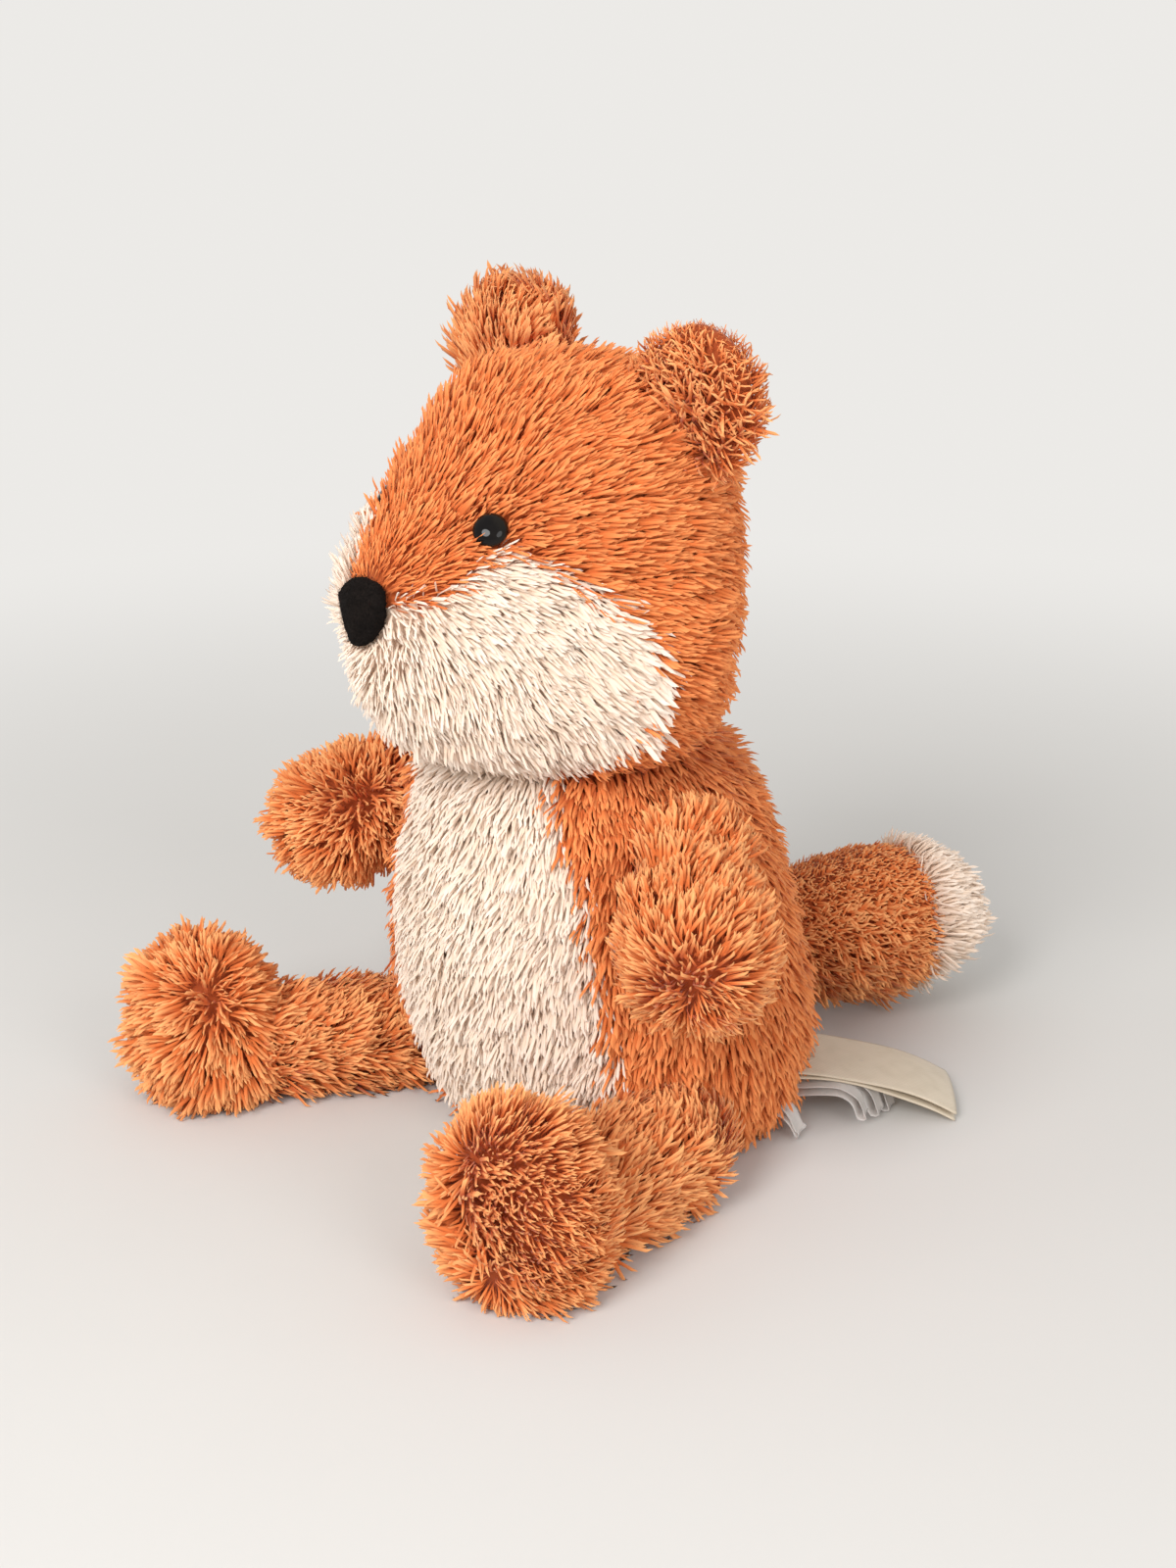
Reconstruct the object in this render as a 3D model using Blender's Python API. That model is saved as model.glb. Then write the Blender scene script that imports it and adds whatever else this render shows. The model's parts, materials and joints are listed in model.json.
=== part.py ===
"""A sitting plush fox: sewn covers with white panels, their fillings, eyes, nose, and the labels in its seam.

The fox faces -Y, its left side is +X, and the origin is on the floor under the middle of the seat.
The skin of each cover lies halfway up its pile. Limbs are built along -Y, or upwards, about their joint
at the origin, and hang from an empty that carries them to their place.
"""

import math

import bmesh
import bpy
from mathutils import Matrix, Vector
from mathutils.bvhtree import BVHTree

# Clearances, cloth and the flat that rests on the floor
GAP = 0.0003
COVER = 0.0024
FLOOR_SINK = 0.0005
SPACE = 0.4

# Torso
TORSO_HEIGHT = 0.074
TORSO_HALF_WIDTH = 0.0425
TORSO_FRONT = 0.0355
TORSO_BACK = 0.0475
TORSO_LEAN = 0.014
TORSO_SIDES = 24
PELLET_BAG_HEIGHT = 0.022
# Height, half width, front and back, as shares of the torso's
TORSO_SHARES = (
    (0.000, 0.70, 0.66, 0.74),
    (0.040, 0.85, 0.83, 0.88),
    (0.130, 0.95, 0.94, 0.96),
    (0.300, 1.00, 1.00, 1.00),
    (0.470, 1.00, 1.01, 1.00),
    (0.650, 0.95, 0.98, 1.01),
    (0.820, 0.86, 0.91, 1.00),
    (0.960, 0.75, 0.82, 0.93),
    (1.070, 0.68, 0.77, 0.78),
)
# Half width and height of the belly panel, as shares of the torso's half width and of the neck's top
BELLY_SHARES = (
    (0.35, 1.10), (0.36, 0.88), (0.48, 0.74), (0.61, 0.61), (0.66, 0.50), (0.70, 0.40), (0.74, 0.23),
    (0.74, 0.04),
)

# Neck: the round top of the torso, which the head is sewn over
NECK_RADIUS = 0.0275
NECK_HEIGHT = 0.076
NECK_HOLE_RADIUS = 0.010
NECK_FIRST_RING = math.radians(20)
NECK_RINGS = 5
NECK_SOCKET_SIDES = 28

# Head, from the neck's centre
HEAD_BASE = 0.012
HEAD_HEIGHT = 0.077
HEAD_HALF_WIDTH = 0.037
HEAD_FRONT = 0.0518
HEAD_BACK = 0.0275
HEAD_AHEAD = 0.000
HEAD_SIDES = 28
HEAD_TURN = math.radians(-4)
HEAD_ROLL = math.radians(2.5)
# Height, half width, front and back as shares of the head's sizes, and the power that rounds its front
HEAD_SHARES = (
    (0.00, 0.44, 0.36, 0.55, 2.00),
    (0.03, 0.72, 0.60, 0.78, 1.90),
    (0.10, 0.90, 0.80, 0.94, 1.70),
    (0.22, 0.99, 0.93, 1.02, 1.60),
    (0.35, 1.00, 0.98, 1.06, 1.50),
    (0.48, 0.97, 1.00, 1.10, 1.45),
    (0.58, 0.92, 0.91, 1.12, 1.50),
    (0.69, 0.88, 0.72, 1.12, 1.60),
    (0.79, 0.82, 0.56, 1.08, 1.80),
    (0.88, 0.72, 0.44, 0.95, 2.00),
    (0.96, 0.48, 0.29, 0.66, 2.00),
)
# The white muzzle from the side: ahead of the head's middle and up, as shares of its front and height
MUZZLE_SHARES = (
    (1.20, 0.54),
    (0.94, 0.50),
    (0.88, 0.475),
    (0.78, 0.52),
    (0.66, 0.60),
    (0.61, 0.61),
    (0.53, 0.57),
    (0.42, 0.53),
    (0.32, 0.47),
    (0.23, 0.39),
    (0.19, 0.29),
    (0.20, 0.20),
    (0.30, 0.08),
    (0.40, -0.06),
    (1.20, -0.06),
)
# The orange bridge of the nose from the front: half width and up, as shares of the head's
BRIDGE_SHARES = ((0.10, 0.46), (0.20, 0.485), (0.31, 0.505), (0.37, 0.54), (0.44, 0.62), (0.70, 0.66))

# Nose patch
NOSE_HALF_WIDTH = 0.0062
NOSE_HALF_HEIGHT = 0.0064
NOSE_THICKNESS = 0.0012
NOSE_UP_SHARE = 0.45
NOSE_TAPER_SHARE = 0.35
NOSE_SIDES = 16

# Eyes, with their shanks and the washers that hold them
EYE_RADIUS = 0.0033
EYE_DOME = 0.0027
EYE_RISE = 0.0008
EYE_SHANK_RADIUS = 0.0011
EYE_SHANK_LENGTH = 0.0085
WASHER_RADIUS = 0.0045
WASHER_THICKNESS = 0.0010
WASHER_DEPTH = 0.0050
EYE_SIDES = 20
EYE_RINGS = 5
EYE_ACROSS_SHARE = 0.41
EYE_UP_SHARE = 0.65

# Ears
EAR_HALF_WIDTH = 0.0138
EAR_HEIGHT = 0.0205
EAR_ROOT_RADIUS = 0.0042
EAR_SINK = 0.001
EAR_SET_BACK = 0.0075
EAR_LEAN = math.radians(24)
EAR_TURN = math.radians(3)
EAR_FOLD = math.radians(20)
EAR_SIDES = 16
EAR_ROOT_RINGS = 3
EAR_ACROSS_SHARE = 0.41
EAR_UP_SHARE = 0.62
# Height, half width and half thickness, as shares of the ear's height, half width and root radius
EAR_SHARES = (
    (0.08, 0.96, 1.00), (0.35, 1.02, 1.15), (0.60, 0.95, 1.12), (0.80, 0.74, 0.95), (0.94, 0.42, 0.65),
)

# Arms
ARM_ROOT_RADIUS = 0.0100
ARM_PAW_RADIUS = 0.0135
ARM_LENGTH = 0.036
ARM_BEARING = math.radians(85)
ARM_SPLAY = math.radians(43)
ARM_DROP = math.radians(28)
ARM_SIDES = 14
ARM_UP_SHARE = 0.96
# Distance and radius, as shares of the arm's length and its paw's radius
ARM_SHARES = ((0.26, 0.76), (0.42, 0.94), (0.60, 1.00), (0.78, 0.90), (0.93, 0.56))

# Legs
LEG_RADIUS = 0.0105
LEG_LENGTH = 0.043
LEG_BEARING = math.radians(62)
LEG_SPLAY_LEFT = math.radians(3)
LEG_SPLAY_RIGHT = math.radians(36)
LEG_SIDES = 14
# Distance and radius, as shares of the leg's length and radius
LEG_SHARES = ((0.25, 1.00), (0.60, 1.02), (0.95, 1.00))

# Feet
FOOT_HALF_WIDTH = 0.0155
FOOT_HALF_DEPTH = 0.0150
FOOT_HEIGHT = 0.036
FOOT_LEAN = 0.003
FOOT_SIDES = 16
# Height, half width and half depth, as shares of the foot's
FOOT_SHARES = (
    (0.00, 0.62, 0.62),
    (0.07, 0.82, 0.84),
    (0.22, 0.96, 0.98),
    (0.45, 1.00, 1.00),
    (0.68, 0.95, 0.92),
    (0.86, 0.72, 0.68),
    (0.96, 0.38, 0.36),
)

# Limb roots: how far each ball stands out of the skin, its waist, and the hole that it is stuffed through
ARM_OUT_SHARE = 0.75
ROOT_OUT_SHARE = 0.6
WAIST_ANGLE = math.radians(24)
ROOT_FIRST_RING = math.radians(-60)
ROOT_RINGS = 3
SOCKET_SIDES = 20
STUFFING_HOLE_RADIUS = 0.0035

# Tail
TAIL_ROOT_RADIUS = 0.0100
TAIL_RADIUS = 0.0165
TAIL_LENGTH = 0.059
TAIL_TIP_LENGTH = 0.017
TAIL_HEIGHT = 0.0245
TAIL_SIDES = 16
TAIL_SWING = math.radians(-25)
# Distance and radius, as shares of the tail's length and radius
TAIL_SHARES = ((0.18, 0.74), (0.34, 0.92), (0.55, 1.00), (0.78, 0.93), (0.93, 0.62))

# Woven label of two plies, and folded care tapes, all from one seam
SEAM_HEIGHT = 0.0105
SEAM_DEPTH = 0.0018
LABEL_BEARING = math.radians(131)
TAPES_BEARING = math.radians(127)
LOOP_BEARING = math.radians(107)
LOOP_LENGTH = 0.006
LABEL_WIDTH = 0.021
LABEL_LENGTH = 0.036
LABEL_THICKNESS = 0.0006
LABEL_DROP = 0.0085
LABEL_STEPS = 8
LABEL_BEND = 2.2
TAPE_WIDTH = 0.0046
TAPE_PITCH = 0.0056
TAPE_LENGTH = 0.020
TAPE_THICKNESS = 0.0004
TAPE_FOLD_RADIUS = 0.0009
TAPE_SEAM_DROP = 0.0040
TAPE_DROP = 0.0046
TAPE_BEND = 3.0
TAPE_STEPS = 5
TAPE_FOLD_STEPS = 4
TAPE_COUNT = 3

FINISHES = {
    "orange_plush": ((0.60, 0.16, 0.035), 0.9),
    "white_plush": ((0.82, 0.74, 0.65), 0.9),
    "black_felt": ((0.012, 0.011, 0.010), 0.95),
    "black_plastic": ((0.006, 0.006, 0.006), 0.15),
    "washer_plastic": ((0.70, 0.70, 0.68), 0.5),
    "fibre_filling": ((0.85, 0.85, 0.83), 1.0),
    "pellet_filling": ((0.55, 0.50, 0.42), 0.8),
    "woven_label": ((0.70, 0.62, 0.47), 0.8),
    "care_tape": ((0.80, 0.80, 0.80), 0.4),
}


def clear_scene():
    for thing in list(bpy.data.objects):
        bpy.data.objects.remove(thing)


def finish(name):
    """The material of that name, made when it is first asked for."""
    made = bpy.data.materials.get(name)
    if made is None:
        colour, roughness = FINISHES[name]
        made = bpy.data.materials.new(name)
        made.use_nodes = True
        shader = made.node_tree.nodes["Principled BSDF"]
        shader.inputs["Base Color"].default_value = (*colour, 1.0)
        shader.inputs["Roughness"].default_value = roughness
        shader.inputs["Metallic"].default_value = 0.0
    return made


def solid(shape):
    """An object from a bmesh, with its faces pointing out."""
    bmesh.ops.recalc_face_normals(shape, faces=shape.faces)
    mesh = bpy.data.meshes.new("solid")
    shape.to_mesh(mesh)
    shape.free()
    thing = bpy.data.objects.new("solid", mesh)
    bpy.context.scene.collection.objects.link(thing)
    return thing


def named(thing, name, finish_name, holder=None):
    """Makes a solid one of the fox's pieces, carried by its holder."""
    thing.name = name
    thing.data.name = name
    thing.data.materials.clear()
    thing.data.materials.append(finish(finish_name))
    thing.data.shade_smooth()
    thing.parent = holder
    return thing


def joint_empty(name, place, turn=(0, 0, 0), holder=None):
    empty = bpy.data.objects.new(name, None)
    empty.location = place
    empty.rotation_euler = turn
    empty.parent = holder
    bpy.context.scene.collection.objects.link(empty)
    return empty


def copy_of(thing):
    twin = thing.copy()
    twin.data = thing.data.copy()
    bpy.context.scene.collection.objects.link(twin)
    return twin


def boolean(thing, operation, *tools):
    """Cuts, joins or crosses thing with each tool in turn. The tools are used up."""
    for tool in tools:
        step = thing.modifiers.new("step", "BOOLEAN")
        step.operation = operation
        step.solver = "EXACT"
        step.object = tool
    graph = bpy.context.evaluated_depsgraph_get()
    mesh = bpy.data.meshes.new_from_object(thing.evaluated_get(graph), depsgraph=graph)
    thing.modifiers.clear()
    thing.data = mesh
    for tool in tools:
        bpy.data.objects.remove(tool)
    return thing


def loft(rings, pole_start=None, pole_end=None):
    """A closed skin of triangles over rings of points. An end runs to its pole, or else is one flat face."""
    shape = bmesh.new()
    rows = [[shape.verts.new(point) for point in ring] for ring in rings]
    for low, high in zip(rows, rows[1:]):
        for k in range(len(low)):
            after = (k + 1) % len(low)
            shape.faces.new((low[k], low[after], high[after]))
            shape.faces.new((low[k], high[after], high[k]))
    for row, pole in ((rows[0], pole_start), (rows[-1], pole_end)):
        if pole is None:
            shape.faces.new(row)
            continue
        tip = shape.verts.new(pole)
        for k in range(len(row)):
            shape.faces.new((row[k], row[(k + 1) % len(row)], tip))
    return solid(shape)


def level_ring(height, middle, half_width, front, back, sides, power=2):
    """A level ring round (0, middle). A power under 2 makes its front half more pointed than an ellipse."""
    points = []
    for k in range(sides):
        angle = 2 * math.pi * k / sides
        across = math.sin(angle)
        ahead = math.cos(angle)
        bend = 2 / (power if ahead > 0 else 2)
        x = half_width * math.copysign(abs(across) ** bend, across)
        y = math.copysign(abs(ahead) ** bend, ahead) * (front if ahead > 0 else back)
        points.append(Vector((x, middle - y, height)))
    return points


def cross_ring(distance, radius, sides):
    """A round ring across a limb that runs along -Y."""
    points = []
    for k in range(sides):
        angle = 2 * math.pi * k / sides
        points.append(Vector((radius * math.sin(angle), -distance, -radius * math.cos(angle))))
    return points


def grown(thing, distance):
    """A copy of a solid with every face moved out by distance, or in where that is negative."""
    shape = bmesh.new()
    shape.from_mesh(thing.data)
    shape.normal_update()
    moves = [vert.normal * distance * vert.calc_shell_factor() for vert in shape.verts]
    for vert, move in zip(shape.verts, moves):
        vert.co += move
    return solid(shape)


def ball(centre, radius, sides):
    """A ball whose flat facets all lie outside the radius, so that a round piece turns inside it."""
    outside = radius / math.cos(math.pi / sides) ** 2
    shape = bmesh.new()
    bmesh.ops.create_uvsphere(shape, u_segments=sides, v_segments=sides // 2, radius=outside)
    bmesh.ops.translate(shape, verts=shape.verts, vec=centre)
    return solid(shape)


def rod(start, end, radius, sides=SOCKET_SIDES):
    """A round bar between two points, whose facets lie outside the radius."""
    start = Vector(start)
    along = Vector(end) - start
    turn = along.to_track_quat("Z", "Y").to_matrix().to_4x4()
    outside = radius / math.cos(math.pi / sides)
    shape = bmesh.new()
    bmesh.ops.create_cone(
        shape, cap_ends=True, segments=sides, radius1=outside, radius2=outside, depth=along.length
    )
    bmesh.ops.transform(shape, verts=shape.verts, matrix=Matrix.Translation(start + along / 2) @ turn)
    return solid(shape)


def prism(outline, axis, low, high):
    """An outline of (across, up) points, drawn from low to high along X or along Y."""
    rings = []
    for depth in (low, high):
        if axis == "X":
            rings.append([Vector((depth, across, up)) for across, up in outline])
        else:
            rings.append([Vector((across, depth, up)) for across, up in outline])
    return loft(rings)


def block(y, z):
    """A large block with its middle far along -Y and -Z from the edge that passes through y and z."""
    shape = bmesh.new()
    bmesh.ops.create_cube(shape, size=2 * SPACE)
    bmesh.ops.translate(shape, verts=shape.verts, vec=(0, y - SPACE, z - SPACE))
    return solid(shape)


def everything_below(height):
    return block(SPACE, height)


def everything_beyond(distance):
    """Everything further than distance along a limb that runs along -Y."""
    return block(-distance, SPACE)


def skin_point(form, start, towards):
    """Where a line from a point inside a form leaves it, and the way that the skin faces there."""
    corners = [vert.co for vert in form.data.vertices]
    faces = [face.vertices for face in form.data.polygons]
    place, facing, _, _ = BVHTree.FromPolygons(corners, faces).ray_cast(start, Vector(towards).normalized())
    return place, facing


def sewn(form, coarse, hole, linings=()):
    """A cover with its wall and stuffing hole, and the filling in it. Linings are balls and rods that
    both stay clear of, each given as a function of how far it is grown."""
    hollow = grown(coarse, -COVER)
    boolean(hollow, "DIFFERENCE", *[lining(GAP + COVER) for lining in linings])
    filling = grown(coarse, -COVER - GAP)
    boolean(filling, "DIFFERENCE", *[lining(GAP + COVER + GAP) for lining in linings])
    cover = boolean(form, "DIFFERENCE", hollow, hole, *[lining(GAP) for lining in linings])
    return cover, filling


def torso_form(sides, every):
    rings = []
    for height, half_width, front, back in TORSO_SHARES[::every]:
        rings.append(level_ring(
            height * (TORSO_HEIGHT + FLOOR_SINK) - FLOOR_SINK,
            -TORSO_LEAN * height,
            half_width * TORSO_HALF_WIDTH,
            front * TORSO_FRONT,
            back * TORSO_BACK,
            sides,
        ))
    for k in range(0, NECK_RINGS, every):
        angle = NECK_FIRST_RING + (math.pi / 2 - NECK_FIRST_RING) * k / NECK_RINGS
        radius = NECK_RADIUS * math.cos(angle)
        height = NECK_HEIGHT + NECK_RADIUS * math.sin(angle)
        rings.append(level_ring(height, -TORSO_LEAN, radius, radius, radius, sides))
    return loft(rings, None, Vector((0, -TORSO_LEAN, NECK_HEIGHT + NECK_RADIUS)))


def root_place(torso, height, bearing, reach):
    """The middle of a limb's root ball, which stands partly out of the torso's skin."""
    towards = Vector((math.sin(bearing), -math.cos(bearing), 0))
    place, _ = skin_point(torso, Vector((0, -TORSO_LEAN * height / TORSO_HEIGHT, height)), towards)
    return place + towards * reach


def roots(torso):
    """Each limb's name, with the place and radius of its root ball."""
    places = {}
    for side, sign in (("left", 1), ("right", -1)):
        reach = ARM_OUT_SHARE * ARM_ROOT_RADIUS
        shoulder = root_place(torso, ARM_UP_SHARE * TORSO_HEIGHT, sign * ARM_BEARING, reach)
        reach = ROOT_OUT_SHARE * LEG_RADIUS
        hip = root_place(torso, LEG_RADIUS - FLOOR_SINK, sign * LEG_BEARING, reach)
        places["arm_" + side] = (shoulder, ARM_ROOT_RADIUS)
        places["leg_" + side] = (hip, LEG_RADIUS)
    tail = root_place(torso, TAIL_HEIGHT, math.pi, ROOT_OUT_SHARE * TAIL_ROOT_RADIUS)
    places["tail"] = (tail, TAIL_ROOT_RADIUS)
    return places


def ball_lining(centre, radius, sides=SOCKET_SIDES):
    return lambda growth: ball(centre, radius + growth, sides)


def belly_shape():
    top = NECK_HEIGHT + NECK_RADIUS
    right = [(-across * TORSO_HALF_WIDTH, up * top) for across, up in BELLY_SHARES]
    left = [(-across, up) for across, up in reversed(right)]
    return prism(right + left, "Y", -SPACE, -TORSO_LEAN)


def make_torso(torso, places, slots):
    """The body's cover, its white belly, its stuffing and the bag of pellets in its seat."""
    linings = [ball_lining(centre, radius) for centre, radius in places.values()]
    neck = Vector((0, -TORSO_LEAN, NECK_HEIGHT))
    hole = rod(neck, neck + Vector((0, 0, 2 * NECK_RADIUS)), NECK_HOLE_RADIUS)
    coarse = torso_form(TORSO_SIDES // 2, 2)
    cover, filling = sewn(torso, coarse, hole, linings)
    boolean(cover, "DIFFERENCE", everything_below(0), *slots)
    bpy.data.objects.remove(coarse)

    belly = belly_shape()
    panel = boolean(copy_of(cover), "INTERSECT", copy_of(belly))
    boolean(cover, "DIFFERENCE", grown(belly, GAP))
    bpy.data.objects.remove(belly)
    named(cover, "body_cover", "orange_plush")
    named(panel, "belly_panel", "white_plush")

    pellets = boolean(copy_of(filling), "INTERSECT", everything_below(PELLET_BAG_HEIGHT))
    boolean(filling, "DIFFERENCE", everything_below(PELLET_BAG_HEIGHT + GAP))
    named(pellets, "pellet_bag", "pellet_filling")
    named(filling, "body_stuffing", "fibre_filling")


def head_form(sides, every):
    rings = []
    for height, half_width, front, back, power in HEAD_SHARES[::every]:
        rings.append(level_ring(
            HEAD_BASE + height * HEAD_HEIGHT,
            -HEAD_AHEAD,
            half_width * HEAD_HALF_WIDTH,
            front * HEAD_FRONT,
            back * HEAD_BACK,
            sides,
            power,
        ))
    return loft(rings, None, Vector((0, -HEAD_AHEAD, HEAD_BASE + HEAD_HEIGHT)))


def head_up(share):
    return HEAD_BASE + share * HEAD_HEIGHT


def muzzle_shape(growth):
    """The space of the white muzzle: its side outline without the bridge of the nose."""
    side = [(-HEAD_AHEAD - ahead * HEAD_FRONT, head_up(up)) for ahead, up in MUZZLE_SHARES]
    right = [(-across * HEAD_HALF_WIDTH, head_up(up)) for across, up in BRIDGE_SHARES]
    left = [(-across, up) for across, up in reversed(right)]
    plain = prism(side, "X", -SPACE, SPACE)
    bridge = prism(right + left, "Y", -SPACE, -HEAD_AHEAD)
    shape = grown(plain, growth)
    boolean(shape, "DIFFERENCE", grown(bridge, -growth))
    bpy.data.objects.remove(plain)
    bpy.data.objects.remove(bridge)
    return shape


def eye_places(head):
    """For each side, the skin under an eye and the way that the eye looks."""
    places = {}
    for side, sign in (("left", 1), ("right", -1)):
        start = Vector((sign * EYE_ACROSS_SHARE * HEAD_HALF_WIDTH, -HEAD_AHEAD, head_up(EYE_UP_SHARE)))
        places[side] = skin_point(head, start, (0, -1, 0))
    return places


def ear_places(head):
    """For each side, the middle of the ear's root and its turn."""
    places = {}
    for side, sign in (("left", 1), ("right", -1)):
        start = Vector((sign * EAR_ACROSS_SHARE * HEAD_HALF_WIDTH, EAR_SET_BACK, head_up(EAR_UP_SHARE)))
        turn = Matrix.Rotation(sign * EAR_TURN, 4, "Z") @ Matrix.Rotation(sign * EAR_LEAN, 4, "Y")
        up = turn @ Vector((0, 0, 1))
        skin, _ = skin_point(head, start, up)
        places[side] = (skin - up * EAR_SINK, turn)
    return places


def ear_lining(place, turn):
    across = turn @ Vector((EAR_HALF_WIDTH + GAP, 0, 0))
    reach = across.normalized()
    return lambda growth: rod(
        place - across - reach * growth, place + across + reach * growth, EAR_ROOT_RADIUS + growth
    )


def eye_lining(skin, facing):
    """The room that a shank needs through the cover."""
    inside = skin - facing * (EYE_SHANK_LENGTH + GAP)
    return lambda growth: rod(skin + facing * EYE_DOME, inside, EYE_SHANK_RADIUS + growth)


def turned(profile, sides, place, facing):
    """A solid turned from (radius, height) points about an axis that stands on place and looks along facing.
    The first and last points are on the axis."""
    rings = []
    for radius, height in profile[1:-1]:
        ring = []
        for k in range(sides):
            angle = 2 * math.pi * k / sides
            ring.append(Vector((radius * math.cos(angle), radius * math.sin(angle), height)))
        rings.append(ring)
    ends = [Vector((0, 0, profile[0][1])), Vector((0, 0, profile[-1][1]))]
    turn = facing.to_track_quat("Z", "Y").to_matrix().to_4x4()
    thing = loft(rings, *ends)
    thing.data.transform(Matrix.Translation(place) @ turn)
    return thing


def make_eye(side, skin, facing, holder):
    """A domed eye on a shank, and the washer that holds the shank behind the cover."""
    dome = []
    for k in range(EYE_RINGS):
        angle = math.pi / 2 * k / EYE_RINGS
        dome.append((EYE_RADIUS * math.cos(angle), EYE_RISE + EYE_DOME * math.sin(angle)))
    profile = [(0, -EYE_SHANK_LENGTH), (EYE_SHANK_RADIUS, -EYE_SHANK_LENGTH), (EYE_SHANK_RADIUS, EYE_RISE)]
    profile += dome + [(0, EYE_RISE + EYE_DOME)]
    named(turned(profile, EYE_SIDES, skin, facing), "eye_" + side, "black_plastic", holder)

    low = -WASHER_DEPTH - WASHER_THICKNESS
    profile = [(0, low), (WASHER_RADIUS, low), (WASHER_RADIUS, -WASHER_DEPTH), (0, -WASHER_DEPTH)]
    washer = turned(profile, EYE_SIDES, skin, facing)
    boolean(washer, "DIFFERENCE", eye_lining(skin, facing)(GAP))
    named(washer, "eye_washer_" + side, "washer_plastic", holder)


def nose_outline():
    points = []
    for k in range(NOSE_SIDES):
        angle = 2 * math.pi * k / NOSE_SIDES
        narrow = 1 - NOSE_TAPER_SHARE * (1 - math.cos(angle)) / 2
        across = NOSE_HALF_WIDTH * math.sin(angle) * narrow
        points.append((across, head_up(NOSE_UP_SHARE) + NOSE_HALF_HEIGHT * math.cos(angle)))
    return points


def make_nose(head, holder):
    """A felt patch that follows the tip of the muzzle."""
    patch = grown(head, GAP + NOSE_THICKNESS)
    boolean(patch, "INTERSECT", prism(nose_outline(), "Y", -SPACE, 0))
    boolean(patch, "DIFFERENCE", grown(head, GAP))
    named(patch, "nose_patch", "black_felt", holder)


def ear_form():
    """An ear that stands on a round root along X, so that it folds forwards and back."""
    rings = []
    for k in range(1, EAR_ROOT_RINGS + 1):
        angle = math.pi / 2 * k / (EAR_ROOT_RINGS + 1)
        thickness = EAR_ROOT_RADIUS * math.sin(angle)
        rings.append(level_ring(
            -EAR_ROOT_RADIUS * math.cos(angle), 0, EAR_HALF_WIDTH, thickness, thickness, EAR_SIDES
        ))
    for height, half_width, thickness in EAR_SHARES:
        half = thickness * EAR_ROOT_RADIUS
        rings.append(level_ring(height * EAR_HEIGHT, 0, half_width * EAR_HALF_WIDTH, half, half, EAR_SIDES))
    return loft(rings, Vector((0, 0, -EAR_ROOT_RADIUS)), Vector((0, 0, EAR_HEIGHT)))


def make_ear(side, head, place, turn, holder):
    """An ear that is cut clear of the head's skin all the way that it folds."""
    root = joint_empty("ear_root_" + side, place, turn.to_euler(), holder)
    ear = ear_form()
    skin = boolean(grown(head, GAP), "DIFFERENCE", ear_lining(place, turn)(GAP / 2))
    skin.data.transform((Matrix.Translation(place) @ turn).inverted())
    for fold in (-EAR_FOLD, 0, EAR_FOLD):
        folded = copy_of(skin)
        folded.data.transform(Matrix.Rotation(fold, 4, "X"))
        boolean(ear, "DIFFERENCE", folded)
    bpy.data.objects.remove(skin)
    named(ear, "ear_" + side, "orange_plush", root)


def make_head():
    """The head, with everything that turns with it about the neck."""
    neck = (0, -TORSO_LEAN, NECK_HEIGHT)
    holder = joint_empty("neck", neck, (0, HEAD_ROLL, HEAD_TURN))
    head = head_form(HEAD_SIDES, 1)
    coarse = head_form(HEAD_SIDES // 2, 2)
    eyes = eye_places(head)
    ears = ear_places(head)
    make_nose(head, holder)
    for side in eyes:
        make_eye(side, *eyes[side], holder)
    for side in ears:
        make_ear(side, head, *ears[side], holder)

    linings = [ball_lining(Vector(), NECK_RADIUS, NECK_SOCKET_SIDES)]
    linings += [ear_lining(*ears[side]) for side in ears]
    hole = rod((0, 0, 0), (0, 0, 2 * NECK_RADIUS), NECK_HOLE_RADIUS)
    cover, filling = sewn(head, coarse, hole, linings)
    bpy.data.objects.remove(coarse)
    for side in eyes:
        boolean(cover, "DIFFERENCE", eye_lining(*eyes[side])(GAP))
        skin, facing = eyes[side]
        inside = skin - facing * (EYE_SHANK_LENGTH + GAP)
        boolean(filling, "DIFFERENCE", rod(skin, inside, WASHER_RADIUS + GAP))

    panel = boolean(copy_of(cover), "INTERSECT", muzzle_shape(0))
    boolean(cover, "DIFFERENCE", muzzle_shape(GAP))
    named(cover, "head_cover", "orange_plush", holder)
    named(panel, "muzzle_panel", "white_plush", holder)
    named(filling, "head_stuffing", "fibre_filling", holder)


def limb_form(root_radius, shares, length, radius, sides):
    """A limb along -Y: a root ball about the origin, a waist, and then its own swell and taper."""
    rings = []
    for k in range(0, ROOT_RINGS + 1):
        angle = ROOT_FIRST_RING + (WAIST_ANGLE - ROOT_FIRST_RING) * k / ROOT_RINGS
        rings.append(cross_ring(root_radius * math.sin(angle), root_radius * math.cos(angle), sides))
    for distance, size in shares:
        rings.append(cross_ring(distance * length, size * radius, sides))
    return loft(rings, Vector((0, root_radius, 0)), Vector((0, -length, 0)))


def limb_hole(root_radius):
    return rod((0, 0, 0), (0, 2 * root_radius, 0), STUFFING_HOLE_RADIUS)


def make_arm(side, sign, place):
    holder = joint_empty("shoulder_" + side, place, (ARM_DROP, 0, sign * ARM_SPLAY))
    sizes = (ARM_ROOT_RADIUS, ARM_SHARES, ARM_LENGTH, ARM_PAW_RADIUS)
    form = limb_form(*sizes, ARM_SIDES)
    coarse = limb_form(*sizes, ARM_SIDES // 2)
    cover, filling = sewn(form, coarse, limb_hole(ARM_ROOT_RADIUS))
    bpy.data.objects.remove(coarse)
    named(cover, "arm_" + side, "orange_plush", holder)
    named(filling, "arm_stuffing_" + side, "fibre_filling", holder)


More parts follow.
